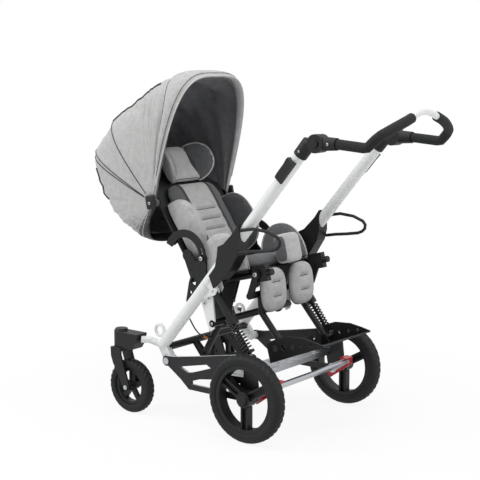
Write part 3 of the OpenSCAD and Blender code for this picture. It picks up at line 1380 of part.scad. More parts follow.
place() canopy_hinges();
place() canopy_rear_panel();
place() canopy_mid_bow();
place() canopy_mid_fabric();
place() canopy_front_bow();
place() canopy_front_fabric();
place() leg_frame();
place() calf_pads();
place() footplate();
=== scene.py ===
import math
import bmesh
import bpy
from mathutils import Matrix, Vector, noise
from mathutils.bvhtree import BVHTree


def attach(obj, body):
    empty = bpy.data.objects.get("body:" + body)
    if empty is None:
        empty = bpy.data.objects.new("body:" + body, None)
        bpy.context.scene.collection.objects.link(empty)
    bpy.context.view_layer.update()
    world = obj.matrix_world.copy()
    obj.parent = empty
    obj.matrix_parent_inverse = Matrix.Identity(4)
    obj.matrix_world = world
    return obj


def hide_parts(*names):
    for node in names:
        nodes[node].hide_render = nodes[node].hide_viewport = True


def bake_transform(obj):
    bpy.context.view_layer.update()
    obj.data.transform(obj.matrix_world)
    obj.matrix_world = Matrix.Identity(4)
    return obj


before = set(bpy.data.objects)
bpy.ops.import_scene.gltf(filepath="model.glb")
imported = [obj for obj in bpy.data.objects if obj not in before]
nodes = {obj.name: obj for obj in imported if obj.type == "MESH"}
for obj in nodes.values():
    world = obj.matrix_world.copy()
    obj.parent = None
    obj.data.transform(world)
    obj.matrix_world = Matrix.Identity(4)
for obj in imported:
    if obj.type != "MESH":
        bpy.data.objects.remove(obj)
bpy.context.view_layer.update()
scene = bpy.context.scene

# Studio: a long-lens camera at about three quarters, low over the rear wheel,
# a white sweep under the buggy, and soft lamps from above and from both sides.
scene.view_settings.view_transform = "Standard"
axle_shift = -0.168
camera_pitch, camera_turn = 90 - 8.4907, -51.729
camera_data = bpy.data.cameras.new("studio_camera")
camera_data.sensor_width = 36.0
camera_data.lens = 86.1
camera = bpy.data.objects.new("studio_camera", camera_data)
camera.location = (-3.10379, -2.19594 + axle_shift, 1.19444)
camera.rotation_euler = (math.radians(camera_pitch), 0.0, math.radians(camera_turn))
scene.collection.objects.link(camera)
scene.camera = camera


def linear(hex_code):
    """An sRGB hex value as a linear colour with full alpha."""
    parts = [int(hex_code[i:i + 2], 16) / 255 for i in (1, 3, 5)]
    return [c / 12.92 if c <= 0.04045 else ((c + 0.055) / 1.055) ** 2.4 for c in parts] + [1.0]


def add(tree, kind, links=(), **settings):
    """One shader node: inputs set by name or number, other settings as attributes, then its links."""
    made = tree.nodes.new(kind)
    for key, value in settings.pop("inputs", {}).items():
        made.inputs[key].default_value = value
    for key, value in settings.items():
        setattr(made, key, value)
    for socket, source in dict(links).items():
        tree.links.new(source, made.inputs[socket])
    return made


def seen_straight(tree):
    """1 for rays from the camera, off a gloss or through glass, and 0 for those that carry light."""
    path = add(tree, "ShaderNodeLightPath")
    seen = path.outputs["Is Camera Ray"]
    for kind in ("Is Glossy Ray", "Is Transmission Ray"):
        seen = add(tree, "ShaderNodeMath", {0: seen, 1: path.outputs[kind]}, operation="MAXIMUM").outputs[0]
    return seen


white = linear("#ffffff")
world = bpy.data.worlds.new("studio_air")
world.use_nodes = True
air = world.node_tree
air.nodes.clear()
air_dim = add(air, "ShaderNodeBackground", inputs={"Color": white, "Strength": 0.42})
air_white = add(air, "ShaderNodeBackground", inputs={"Color": white, "Strength": 1.0})
air_mix = add(air, "ShaderNodeMixShader",
              {0: seen_straight(air), 1: air_dim.outputs[0], 2: air_white.outputs[0]})
add(air, "ShaderNodeOutputWorld", {0: air_mix.outputs[0]})
scene.world = world

sweep_bm = bmesh.new()
bmesh.ops.create_grid(sweep_bm, x_segments=1, y_segments=1, size=9.0)
sweep_mesh = bpy.data.meshes.new("studio_floor")
sweep_bm.to_mesh(sweep_mesh)
sweep_bm.free()
floor = bpy.data.objects.new("studio_floor", sweep_mesh)
scene.collection.objects.link(floor)
paper = bpy.data.materials.new("white_paper")
paper.use_nodes = True
pt = paper.node_tree
pt.nodes.clear()
pt_matt = add(pt, "ShaderNodeBsdfDiffuse", inputs={"Color": linear("#f4f4f4")})
pt_white = add(pt, "ShaderNodeEmission", inputs={"Color": white, "Strength": 1.0})
pt_where = add(pt, "ShaderNodeTexCoord")
pt_far = add(pt, "ShaderNodeVectorMath", {0: pt_where.outputs["Object"]}, operation="LENGTH")
pt_fade = add(pt, "ShaderNodeMapRange", {"Value": pt_far.outputs["Value"]}, interpolation_type="SMOOTHSTEP",
              inputs={"From Min": 0.45, "From Max": 1.5, "To Min": 0.9, "To Max": 1.0})
pt_share = add(pt, "ShaderNodeMath", {0: seen_straight(pt), 1: pt_fade.outputs[0]}, operation="MULTIPLY")
pt_mix = add(pt, "ShaderNodeMixShader",
             {0: pt_share.outputs[0], 1: pt_matt.outputs[0], 2: pt_white.outputs[0]})
add(pt, "ShaderNodeOutputMaterial", {0: pt_mix.outputs[0]})
sweep_mesh.materials.append(paper)

lamp_target = Vector((0, 0, 0.55))
for lamp_name, lamp_at, lamp_size, lamp_watts in (
    ("lamp_over", (-0.6, -0.4, 3.6), 2.6, 62),
    ("lamp_left", (-2.3, 2.5, 2.5), 1.2, 48),
    ("lamp_right", (1.2, -3.4, 2.0), 2.2, 34),
):
    lamp = bpy.data.objects.new(lamp_name, bpy.data.lights.new(lamp_name, "AREA"))
    lamp.data.energy = lamp_watts
    lamp.data.size = lamp_size
    lamp.location = lamp_at
    lamp.rotation_euler = (lamp_target - Vector(lamp_at)).to_track_quat("-Z", "Y").to_euler()
    scene.collection.objects.link(lamp)


# Frame tubes and handle tube: steel and aluminium tube, bent, welded and then
# powder coated white. The coat has a faint orange peel and a soft satin gloss.
def surface(name, roughness, colour, metallic=0.0, **sockets):
    """A new material with one principled shader; gives the material, its tree and the shader."""
    made = bpy.data.materials.new(name)
    made.use_nodes = True
    tree = made.node_tree
    tree.nodes.clear()
    inputs = {"Roughness": roughness, "Metallic": metallic, "Base Color": linear(colour)}
    inputs.update(sockets)
    shader = add(tree, "ShaderNodeBsdfPrincipled", inputs=inputs)
    add(tree, "ShaderNodeOutputMaterial", {0: shader.outputs[0]})
    return made, tree, shader


def speckle(tree, scale, detail, **inputs):
    """A noise texture in the object's own space."""
    where = add(tree, "ShaderNodeTexCoord")
    return add(tree, "ShaderNodeTexNoise", {"Vector": where.outputs["Object"]},
               inputs={"Scale": scale, "Detail": detail, **inputs}).outputs[0]


def tones(tree, share, first, second):
    """A colour between two hex values, by a share from 0 to 1."""
    return add(tree, "ShaderNodeMix", {"Factor": share}, data_type="RGBA",
               inputs={6: linear(first), 7: linear(second)}).outputs[2]


def bump(tree, shader, height, strength, distance=0.0004):
    """A bump from a height on the shader's normal; gives the bump node."""
    lift = add(tree, "ShaderNodeBump", {"Height": height},
               inputs={"Strength": strength, "Distance": distance})
    tree.links.new(lift.outputs[0], shader.inputs["Normal"])
    return lift


def dress(material, *names):
    """The CAD nodes with these names take this material."""
    for name in names:
        nodes[name].data.materials.clear()
        nodes[name].data.materials.append(material)


powder_white, tree, shader = surface("powder_coat_white", 0.34, "#e9eaea",
                                     **{"Coat Weight": 0.15, "Coat Roughness": 0.25})
tree.links.new(tones(tree, speckle(tree, 9.0, 3.0), "#f1f2f2", "#e2e4e5"), shader.inputs["Base Color"])
bump(tree, shader, speckle(tree, 150.0, 1.0), 0.03)
dress(powder_white, "frame_left", "frame_right", "push_tubes", "handle_tube")


# Cross tubes, seat frame, legrest frame, springs, strut rods and gas cylinder: black powder-coated
# steel, with a fine leather-like texture that breaks up the highlights; its edges are painted lighter,
# partly as wear and partly as a painted highlight.
def remap(tree, value, start=(0.0, 1.0), end=(0.0, 1.0)):
    """A value moved from one range to another and kept inside it."""
    return add(tree, "ShaderNodeMapRange", {"Value": value}, inputs={
        "From Min": start[0], "From Max": start[1], "To Min": end[0], "To Max": end[1]}).outputs[0]


def soften(tree, lift, radius):
    """Round the look of sharp edges under a bump; gives a 0 to 1 mask of those edges."""
    round_off = add(tree, "ShaderNodeBevel", inputs={"Radius": radius}, samples=4)
    tree.links.new(round_off.outputs[0], lift.inputs["Normal"])
    plain = add(tree, "ShaderNodeNewGeometry")
    agree = add(tree, "ShaderNodeVectorMath", {0: round_off.outputs[0], 1: plain.outputs["Normal"]},
                operation="DOT_PRODUCT")
    return remap(tree, agree.outputs["Value"], start=(0.98, 0.8))


def over(tree, share, below, colour):
    """A hex value laid over another colour, by a share from 0 to 1."""
    return add(tree, "ShaderNodeMix", {"Factor": share, 6: below}, data_type="RGBA",
               inputs={7: linear(colour)}).outputs[2]


powder_black, tree, shader = surface("powder_coat_black", 0.42, "#0e0f10", **{"Specular IOR Level": 0.3})
# Edges painted lighter: partly wear, partly a painted highlight.
edges = soften(tree, bump(tree, shader, speckle(tree, 420.0, 2.0), 0.12), 0.001)
tone = tones(tree, speckle(tree, 14.0, 3.0), "#0b0c0d", "#141516")
tree.links.new(over(tree, edges, tone, "#2c2d2f"), shader.inputs["Base Color"])
dress(powder_black, "cross_tubes", "seat_frame", "leg_frame", "strut_springs", "strut_rods", "gas_cylinder")

# Moulded black parts: glass-filled nylon with a spark-eroded grain from the mould,
# slightly greyer along every edge, partly as wear and partly as a painted highlight,
# and with a roughness that varies at random.
nylon_black, tree, shader = surface("moulded_nylon_black", 0.5, "#121315", **{"Specular IOR Level": 0.32})
cloud = speckle(tree, 18.0, 4.0)
# Edges painted greyer: partly wear, partly a painted highlight.
edges = soften(tree, bump(tree, shader, speckle(tree, 500.0, 2.0), 0.15), 0.0016)
tone = tones(tree, cloud, "#0c0d0e", "#151618")
tree.links.new(over(tree, edges, tone, "#343537"), shader.inputs["Base Color"])
tree.links.new(remap(tree, cloud, end=(0.4, 0.58)), shader.inputs["Roughness"])
dress(nylon_black, "caster_housings", "caster_fork_left", "caster_fork_right", "caster_rim_left",
      "caster_rim_right", "rear_rim_left", "rear_rim_right", "strut_cylinders", "fold_covers",
      "handle_hinges", "handle_knuckles", "fold_trigger_left", "fold_trigger_right", "handle_button_left",
      "handle_button_right", "recline_brackets", "leg_hangers", "back_shell", "recline_arcs",
      "canopy_hinges", "footplate", "release_cable")

# Pins, bolts, axles, gas spring rod and brake bar: turned steel with bright zinc plating,
# with a slightly cloudy gloss.
zinc_bright, tree, shader = surface("zinc_plated_steel", 0.3, "#b9bcc0", metallic=1.0)
rings = speckle(tree, 160.0, 3.0)
tree.links.new(remap(tree, rings, end=(0.22, 0.42)), shader.inputs["Roughness"])
tree.links.new(tones(tree, rings, "#c4c7ca", "#a9acb0"), shader.inputs["Base Color"])
dress(zinc_bright, "frame_bolts", "caster_axle_left", "caster_axle_right", "rear_axle", "gas_rod",
      "brake_bar")

# Swing arms: trusses cut from aluminium plate and anodised black,
# with the upward-facing faces painted bright silver as a highlight.
anodised, tree, shader = surface("anodised_plate_black", 0.38, "#1b1c1e", metallic=0.4)
where = add(tree, "ShaderNodeTexCoord")
brush = speckle(tree, 90.0, 4.0)
facing = add(tree, "ShaderNodeSeparateXYZ", {0: where.outputs["Normal"]})
# Faces turned upwards are painted bright silver as a highlight.
top_highlight = remap(tree, facing.outputs["Z"], start=(0.35, 0.6))
tone_with_top_highlight = over(tree, top_highlight, tones(tree, brush, "#161719", "#26272a"), "#c8cacc")
tree.links.new(tone_with_top_highlight, shader.inputs["Base Color"])
soften(tree, bump(tree, shader, brush, 0.06), 0.001)
dress(anodised, "swing_arms")


# Tyres: black rubber moulded on the rims, with chevron lugs round the tread and plain walls.
# Each is a grid bent round its section and its axle, with the grooves sunk into it.
def piece(name, bm, *materials):
    """A finished bmesh as an object at the origin, with smooth faces."""
    mesh = bpy.data.meshes.new(name)
    for face in bm.faces:
        face.smooth = True
    bm.to_mesh(mesh)
    bm.free()
    for material in materials:
        mesh.materials.append(material)
    made = bpy.data.objects.new(name, mesh)
    scene.collection.objects.link(made)
    return made


def power(value, exponent):
    """A signed power, for outlines between a circle and a square."""
    return math.copysign(abs(value) ** exponent, value)


def clamp(value):
    """A value kept between 0 and 1."""
    return min(1.0, max(0.0, value))


rubber, tree, shader = surface("tyre_rubber", 0.62, "#1a1b1c", **{"Specular IOR Level": 0.3})
dust = speckle(tree, 60.0, 4.0)
tree.links.new(tones(tree, dust, "#101112", "#1c1d1f"), shader.inputs["Base Color"])
tree.links.new(remap(tree, dust, end=(0.5, 0.75)), shader.inputs["Roughness"])
bump(tree, shader, speckle(tree, 600.0, 2.0), 0.2)

groove_depth, tyre_square, chevron = 0.0026, 2.6, 1.15
groove_half, groove_ramp = 0.2, 0.09
wall_from, wall_ramp = 0.97, 0.08
rim_gap = 0.0002
for tyre_node, tyre_body, axle_x, axle_y, tyre_r, bead_r, rim_r, tyre_half, lugs in (
    ("rear_tyre_left", "rear_wheel_left", -0.2865, 0.0, 0.145, 0.106, 0.113, 0.024, 38),
    ("rear_tyre_right", "rear_wheel_right", 0.2865, 0.0, 0.145, 0.106, 0.113, 0.024, 38),
    ("caster_tyre_left", "caster_wheel_left", -0.268, 0.523, 0.095, 0.062, 0.066, 0.020, 30),
    ("caster_tyre_right", "caster_wheel_right", 0.268, 0.523, 0.095, 0.062, 0.066, 0.020, 30),
):
    bm = bmesh.new()
    bmesh.ops.create_grid(bm, x_segments=lugs * 10, y_segments=40, size=0.5)
    deep = (tyre_r - bead_r) / 2
    for vert in bm.verts:
        turn = 2 * math.pi * (vert.co.x + 0.5)
        around = 2 * math.pi * vert.co.y
        out = deep * power(math.cos(around), 2 / tyre_square)
        across = tyre_half * power(math.sin(around), 2 / tyre_square)
        share = abs(across) / tyre_half
        phase = (lugs * (vert.co.x + 0.5) + chevron * share) % 1.0
        wall = clamp((wall_from - share) / wall_ramp) if math.cos(around) > 0 else 0.0
        sink = groove_depth * wall * clamp((groove_half - abs(phase - 0.5)) / groove_ramp)
        radius = max(rim_r + rim_gap, tyre_r - deep + out - sink)
        vert.co = (axle_x + across, axle_y + axle_shift + radius * math.sin(turn),
                   tyre_r + radius * math.cos(turn))
    bmesh.ops.remove_doubles(bm, verts=bm.verts, dist=0.00005)
    bmesh.ops.recalc_face_normals(bm, faces=bm.faces)
    tyre = piece(tyre_node + "_tread", bm, rubber)
    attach(tyre, tyre_body)
    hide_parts(tyre_node)

# Tread plate: rolled aluminium sheet with raised ribs and small raised lozenges between them,
# so that the attendant's shoe doesn't slip when stepping on to tip the buggy.
bright_sheet, tree, shader = surface("rolled_aluminium", 0.36, "#b4b7ba", metallic=1.0)
where = add(tree, "ShaderNodeTexCoord")
rolled = add(tree, "ShaderNodeMapping", {"Vector": where.outputs["Object"]}, inputs={"Scale": (8, 300, 300)})
streak = add(tree, "ShaderNodeTexNoise", {"Vector": rolled.outputs[0]},
             inputs={"Scale": 1.0, "Detail": 3.0}).outputs[0]
tree.links.new(tones(tree, streak, "#a3a6a9", "#d0d3d6"), shader.inputs["Base Color"])
tree.links.new(remap(tree, streak, end=(0.28, 0.46)), shader.inputs["Roughness"])
dress(bright_sheet, "tread_plate")

tread_top, tread_half, tread_ribs = 0.195, 0.2459, 9
lozenge_rows, lozenge_from, lozenge_pitch, lozenge_off = 5, 0.060, 0.0165, 0.009
lozenge_lift = 0.0005
bm = bmesh.new()
for k in range(tread_ribs - 1):
    bay_x = tread_half * 0.94 * (2 * (k + 1) / tread_ribs - 1)
    for row in range(lozenge_rows):
        for side in (-1, 1):
            lozenge_y = lozenge_from + lozenge_pitch * row + axle_shift
            place = Matrix.Translation((bay_x + side * lozenge_off, lozenge_y, tread_top + lozenge_lift))
            slant = Matrix.Rotation(math.radians(45 * side * (-1) ** row), 4, "Z")
            bmesh.ops.create_cone(bm, cap_ends=True, segments=8, radius1=0.0075, radius2=0.005, depth=0.0018,
                                  matrix=place @ slant @ Matrix.Diagonal((1.0, 0.32, 1.0, 1.0)))
bmesh.ops.recalc_face_normals(bm, faces=bm.faces)
lozenges = piece("tread_plate_lozenges", bm, bright_sheet)
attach(lozenges, "rear_swing")

# Brake pedals: red ABS, injection moulded and glossy,
# with a soft moulding ripple.
abs_red, tree, shader = surface("abs_red", 0.3, "#c4141f")
ripple = speckle(tree, 45.0, 3.0)
tree.links.new(tones(tree, ripple, "#b5101b", "#d52330"), shader.inputs["Base Color"])
bump(tree, shader, ripple, 0.1, 0.0006)
dress(abs_red, "brake_pedals")

# Handle grips: black foam rubber sleeves pushed on to the tube,
# with open pores and a dull surface.
foam_black, tree, shader = surface("foam_rubber_black", 0.78, "#1a1b1c", **{"Specular IOR Level": 0.3})
where = add(tree, "ShaderNodeTexCoord")
pores = add(tree, "ShaderNodeTexVoronoi", {"Vector": where.outputs["Object"]},
            inputs={"Scale": 520.0}).outputs["Distance"]
tree.links.new(tones(tree, pores, "#111112", "#2a2b2c"), shader.inputs["Base Color"])
bump(tree, shader, pores, 0.35, 0.0008)
dress(foam_black, "handle_grips")


# Seat cushion: foam in a dark grey melange cover, flat underneath, crowned on top,
# with two sewn channels across. Melange yarn mixes dark and pale fibres.
def melange(name, pale, dark, strip=None):
    """Woven melange cloth; strip is (pale, dark, distance) for a second pair of tones past a distance from the
    middle: the back cushion's side panels, and the pommel's sides painted dark as shade.
    """
    made, tree, shader = surface(name, 0.88, pale, **{"Sheen Weight": 0.2, "Sheen Roughness": 0.5})
    where = add(tree, "ShaderNodeTexCoord")
    # Yarns are about 0.5 mm apart; the flecks are drawn at 1.8 mm, as coarse as they need to be to show.
    fleck = speckle(tree, 560.0, 3.0, Roughness=0.75)
    patch = speckle(tree, 55.0, 3.0)
    blur = add(tree, "ShaderNodeMath", {0: patch, 2: fleck}, operation="MULTIPLY_ADD", inputs={1: 0.3})
    share = remap(tree, blur.outputs[0], start=(0.45, 0.85))
    tone = tones(tree, share, pale, dark)
    if strip:
        side_pale, side_dark, distance = strip
        other = tones(tree, share, side_pale, side_dark)
        axes = add(tree, "ShaderNodeSeparateXYZ", {0: where.outputs["Object"]})
        across = add(tree, "ShaderNodeMath", {0: axes.outputs["X"]}, operation="ABSOLUTE")
        past = add(tree, "ShaderNodeMath", {0: across.outputs[0]}, operation="GREATER_THAN",
                   inputs={1: distance})
        tone = add(tree, "ShaderNodeMix", {"Factor": past.outputs[0], 6: tone, 7: other},
                   data_type="RGBA").outputs[2]
    tree.links.new(tone, shader.inputs["Base Color"])
    weave = add(tree, "ShaderNodeTexVoronoi", {"Vector": where.outputs["Object"]},
                inputs={"Scale": 620.0, "Randomness": 0.35})
    bump(tree, shader, weave.outputs["Distance"], 0.5, 0.0006)
    return made


def pad_form(width, up, down, thick, square, seam=0.5, at=None, both=False, edge=0.55, crown=0.7, flare=0.0):
    """A pad bent from a ball: a rounded square in XY, wider below by flare, with its crown in +Z."""
    bm = bmesh.new()
    bmesh.ops.create_uvsphere(bm, u_segments=96, v_segments=48, radius=1.0)
    for vert in bm.verts:
        rise = math.asin(max(-1.0, min(1.0, vert.co.z)))
        turn = math.atan2(vert.co.y, vert.co.x)
        spread = max(0.0, math.cos(rise)) ** edge
        x = spread * width / 2 * power(math.cos(turn), 2 / square)
        y = spread * (up if math.sin(turn) > 0 else down) * power(math.sin(turn), 2 / square)
        part = thick * (1 - seam) if rise > 0 else thick * seam
        x *= 1 + flare * max(0.0, -y / down) ** 3
        vert.co = (x, y, thick * seam + part * power(math.sin(rise), crown))
    bmesh.ops.transform(bm, matrix=at, verts=bm.verts)
    if both:
        bmesh.ops.mirror(bm, geom=bm.verts[:] + bm.edges[:] + bm.faces[:], matrix=Matrix.Identity(4),
                         merge_dist=0.0, axis="X")
    bmesh.ops.recalc_face_normals(bm, faces=bm.faces)
    return bm


def seam_ring(width, up, down, level, square, at, count=72, spread=1.0):
    """Points round a pad's outline at a height, for its piping."""
    ring = []
    for k in range(count):
        turn = 2 * math.pi * k / count
        y = (up if math.sin(turn) > 0 else down) * power(math.sin(turn), 2 / square)
        ring.append(at @ Vector((spread * width / 2 * power(math.cos(turn), 2 / square), spread * y, level)))
    return ring


puff_frames = 20


def puff(made, cap, voxel=0.005, pressure=4.0):
    """Blow a cover up with a short cloth run, each point kept within cap of where it was."""
    even = made.modifiers.new("even_mesh", "REMESH")
    even.mode = "VOXEL"
    even.voxel_size = voxel
    old = made.data
    made.data = bpy.data.meshes.new_from_object(made.evaluated_get(bpy.context.evaluated_depsgraph_get()))
    made.modifiers.remove(even)
    start = [vert.co.copy() for vert in made.data.vertices]
    cloth = made.modifiers.new("stuffing", "CLOTH")
    cloth.settings.use_pressure = True
    cloth.settings.uniform_pressure_force = pressure
    cloth.settings.mass = 0.15
    cloth.settings.tension_stiffness = 15
    cloth.settings.bending_stiffness = 0.3
    cloth.settings.effector_weights.gravity = 0.0
    cloth.point_cache.frame_start = 1
    cloth.point_cache.frame_end = puff_frames
    for step in range(1, puff_frames + 1):
        scene.frame_set(step)
    blown = bpy.data.meshes.new_from_object(made.evaluated_get(bpy.context.evaluated_depsgraph_get()))
    made.modifiers.remove(cloth)
    scene.frame_set(1)
    for vert, was in zip(blown.vertices, start):
        move = vert.co - was
        if move.length > cap:
            vert.co = was + move.normalized() * cap
    blown.materials.clear()
    for material in old.materials:
        blown.materials.append(material)
    spare = made.data
    made.data = blown
    bpy.data.meshes.remove(spare)
    bpy.data.meshes.remove(old)
    blown.name = made.name
    blown.polygons.foreach_set("use_smooth", [True] * len(blown.polygons))
    return made


def sew(made, at, lines, deep, wide, half_length):
    """Press sewn channels into a pad's crown, on both sides of the part; each line is (x, y) in its plane."""
    inverse = at.inverted()
    press = at.to_3x3() @ Vector((0, 0, 1))
    underside, run_out = 0.004, 0.012
    for vert in made.data.vertices:
        spot = inverse @ Vector((abs(vert.co.x), vert.co.y, vert.co.z))
        if spot.z > underside:
            dip = 0.0
            for x, y in lines:
                past = max(0.0, abs(spot.x - x) - half_length) / run_out
                dip = max(dip, deep * math.exp(-((spot.y - y) / wide) ** 2 - past ** 2))
            vert.co = vert.co - Vector((math.copysign(press.x, vert.co.x), press.y, press.z)) * dip


def two_tone(made, at, level):
    """Give the faces below a level of the pad's own height its second material."""
    inverse = at.inverted()
    for face in made.data.polygons:
        spot = inverse @ Vector((abs(face.center.x), face.center.y, face.center.z))
        face.material_index = 1 if spot.z < level else 0


def finish_pad(made, body, node):
    """Subdivide a pad once, and let it stand for its CAD solid on its body."""
    smooth = made.modifiers.new("round", "SUBSURF")
    smooth.levels = 1
    smooth.render_levels = 1
    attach(made, body)
    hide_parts(node)


def cord(name, paths, radius, material, body, closed=False):
    """Round piping along one or more lists of points, riding on a body."""
    curve = bpy.data.curves.new(name, "CURVE")
    curve.dimensions = "3D"
    curve.bevel_depth = radius
    curve.bevel_resolution = 2
    for path in paths:
        spline = curve.splines.new("POLY")
        spline.points.add(len(path) - 1)
        for point, spot in zip(spline.points, path):
            point.co = (spot[0], spot[1], spot[2], 1.0)
        spline.use_cyclic_u = closed
    drawn = bpy.data.objects.new(name + "_path", curve)
    scene.collection.objects.link(drawn)
    mesh = bpy.data.meshes.new_from_object(drawn.evaluated_get(bpy.context.evaluated_depsgraph_get()))
    bpy.data.objects.remove(drawn)
    bpy.data.curves.remove(curve)
    bm = bmesh.new()
    bm.from_mesh(mesh)
    bpy.data.meshes.remove(mesh)
    bmesh.ops.remove_doubles(bm, verts=bm.verts, dist=0.00002)
    bmesh.ops.recalc_face_normals(bm, faces=bm.faces)
    made = piece(name, bm, material)
    if body:
        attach(made, body)
    return made


def lay(made, at, spots, lift):
    """Points (x, y) of a pad's own plane dropped on to its crown, and raised by lift."""
    skin = BVHTree.FromPolygons([vert.co for vert in made.data.vertices],
                                [face.vertices for face in made.data.polygons])
    above = at.to_3x3() @ Vector((0, 0, 1))
    laid = [skin.ray_cast(at @ Vector((x, y, 0.3)), -above)[0] for x, y in spots]
    return [spot + above * lift for spot in laid if spot]


def stitches(made, at, lines, half_length, count):
    """Short thread runs along sewn lines; each line is (x, y) of its middle in the pad's own plane."""
    runs = []
    for x, y in lines:
        for k in range(count):
            start = x - half_length + 2 * half_length * k / count
            runs.append(lay(made, at, [(start, y), (start + 1.3 * half_length / count, y)], 0.001))
    return [run for run in runs if len(run) == 2]


def mirrored(path):
    """The same points on the other side."""
    return [Vector((-spot[0], spot[1], spot[2])) for spot in path]


def turned(y, z, degrees):
    """A matrix for a plane at (0, y, z) from the rear axle, turned about X."""
    return Matrix.Translation((0, y + axle_shift, z)) @ Matrix.Rotation(math.radians(degrees), 4, "X")


def stuffed(name, form, cap, *cloths, voxel=0.005):
    """A pad's cover, blown up by up to cap."""
    return puff(piece(name, form, *cloths), cap, voxel)


seat_plane = turned(0.31728, 0.47801, -14.0)
back_plane = turned(0.33687, 0.56485, -34.3)
pale_tones = ("#c9c9c8", "#9b9b9b")
dark_tones = ("#66676a", "#48494b")
cloth_dark = melange("melange_dark_grey", *dark_tones)
cloth_pale = melange("melange_light_grey", *pale_tones)
thread_dark = melange("piping_charcoal", "#2e2f31", "#1d1e20")
thread_pale = melange("piping_light_grey", "#d4d4d3", "#bcbcbc")
seat_at = seat_plane @ Matrix.Translation((0, -0.1365, 0.0006))
seat_form = pad_form(0.312, 0.120, 0.120, 0.045, 6.0, 0.3, seat_at)
seat_pad = stuffed("seat_cushion_cover", seat_form, 0.004, cloth_dark)
sew(seat_pad, seat_at, ((0, -0.041), (0, 0.041)), 0.005, 0.006, 0.12)
finish_pad(seat_pad, "seat", "seat_cushion")
seat_ring = seam_ring(0.314, 0.121, 0.121, 0.0135, 6.0, seat_at)
cord("seat_cushion_piping", [seat_ring], 0.0016, thread_dark, "seat", closed=True)


# Hip pads: D-shaped foam pads on both sides of the seat, pale outside and round the rim,
# darker on the face towards the hips, with piping where the two cloths meet.
def side_pads(name, body, node, size, thick, square, seam, at, cloths, piping):
    """A pair of two-tone pads with a piped seam where the two cloths meet."""
    pair = stuffed(name, pad_form(*size, thick, square, 0.5, at, True), 0.003, *cloths, voxel=0.004)
    two_tone(pair, at, seam)
    finish_pad(pair, body, node)
    ring = seam_ring(*size, seam, square, at, spread=0.97)
    cord(piping, [ring, mirrored(ring)], 0.0015, thread_pale, body, closed=True)


cloth_hip = melange("melange_mid_grey", "#87888a", "#67686a")
upright = Matrix(((0, 0, 1, 0), (1, 0, 0, 0), (0, 1, 0, 0), (0, 0, 0, 1)))
hip_at = seat_plane @ Matrix.Translation((0.161, -0.143, 0.0072)) @ upright
side_pads("hip_pad_covers", "seat", "hip_pads", (0.208, 0.136, 0.0062), 0.0175, 2.2, 0.0045,
          hip_at, (cloth_pale, cloth_hip), "hip_pad_piping")

# Pommel: a foam block that keeps the knees apart, pale in front and on top, with its sides painted dark
# as shade, pushed on to a steel tongue at the front of the pan.
# The dark side strips are painted shade on the pommel's rounded sides.
cloth_pommel = melange("melange_pommel", *pale_tones, (*dark_tones, 0.0415))
pommel_at = seat_plane @ Matrix.Translation((0, -0.291, 0.0008))
pommel_form = pad_form(0.0925, 0.030, 0.030, 0.099, 4.0, 0.5, pommel_at, edge=0.27, crown=0.5)
pommel_pad = stuffed("pommel_cover", pommel_form, 0.003, cloth_pommel, voxel=0.004)
finish_pad(pommel_pad, "seat", "pommel")

# Back cushion: a long foam pad with a pale middle panel and dark side strips, double piped between them,
# quilted across the middle panel by rows of stitching.
lean = Matrix.Rotation(math.radians(90), 4, "X")
panel_half, panel_gap = 0.068, 0.008
piping_half, piping_steps = 0.149, 40
cloth_back = melange("melange_back", *pale_tones, (*dark_tones, panel_half))
back_at = back_plane @ Matrix.Translation((0, 0.0126, 0.122)) @ lean
back_form = pad_form(0.272, 0.150, 0.150, 0.033, 6.0, 0.3, back_at)
back_pad = stuffed("back_cushion_cover", back_form, 0.004, cloth_back)
back_rows = [(0, y) for y in (-0.048, -0.008, 0.032)]
sew(back_pad, back_at, back_rows, 0.007, 0.006, 0.052)
finish_pad(back_pad, "backrest", "back_cushion")
panel_edges = []
for edge_x in (panel_half, panel_half + panel_gap):
    spots = [(edge_x, piping_half * (1 - 2 * k / piping_steps)) for k in range(piping_steps + 1)]
    edge_line = lay(back_pad, back_at, spots, 0.0004)
    panel_edges += [edge_line, mirrored(edge_line)]
cord("back_cushion_piping", panel_edges, 0.0015, thread_dark, "backrest")
back_runs = stitches(back_pad, back_at, back_rows, 0.054, 16)
cord("back_cushion_stitches", back_runs, 0.0012, thread_dark, "backrest")

# Head cushion: a smaller pale pad above the back cushion, flared at its lower edge
# over the shoulders, with a hem sewn along that edge.
head_at = back_plane @ Matrix.Translation((0, 0.0126, 0.3494)) @ lean
head_form = pad_form(0.114, 0.073, 0.073, 0.033, 5.0, 0.3, head_at, flare=0.75)
head_pad = stuffed("head_cushion_cover", head_form, 0.003, cloth_pale)
finish_pad(head_pad, "backrest", "head_cushion")
hem_half, hem_y = 0.084, -0.066
head_hem = lay(head_pad, head_at, [(hem_half * (k / 20 - 1), hem_y) for k in range(41)], 0.0004)
cord("head_cushion_seam", [head_hem], 0.0012, thread_dark, "backrest")

# Head pads: two D-shaped wings beside the head, turned a little outwards,
# dark inside with a pale rim.
flip = Matrix.Rotation(math.radians(-90), 4, "Y") @ Matrix.Rotation(math.radians(180), 4, "X")
outwards = Matrix.Rotation(math.radians(34), 4, "Z")
wing_at = back_plane @ Matrix.Translation((0.063, -0.004, 0.349)) @ outwards @ flip
side_pads("head_pad_covers", "backrest", "head_pads", (0.148, 0.086, 0.0050), 0.024, 2.2, 0.006,
          wing_at, (cloth_pale, cloth_dark), "head_pad_piping")

# Thoracic pads: D-shaped side supports at chest height, of the same make as the head pads,
# dark inside with a pale rim and outside.
chest_at = back_plane @ Matrix.Translation((0.1398, 0.0060, 0.09)) @ flip
side_pads("thoracic_pad_covers", "backrest", "thoracic_pads", (0.224, 0.104, 0.0060), 0.0185,
          2.4, 0.0048, chest_at, (cloth_pale, cloth_dark), "thoracic_pad_piping")

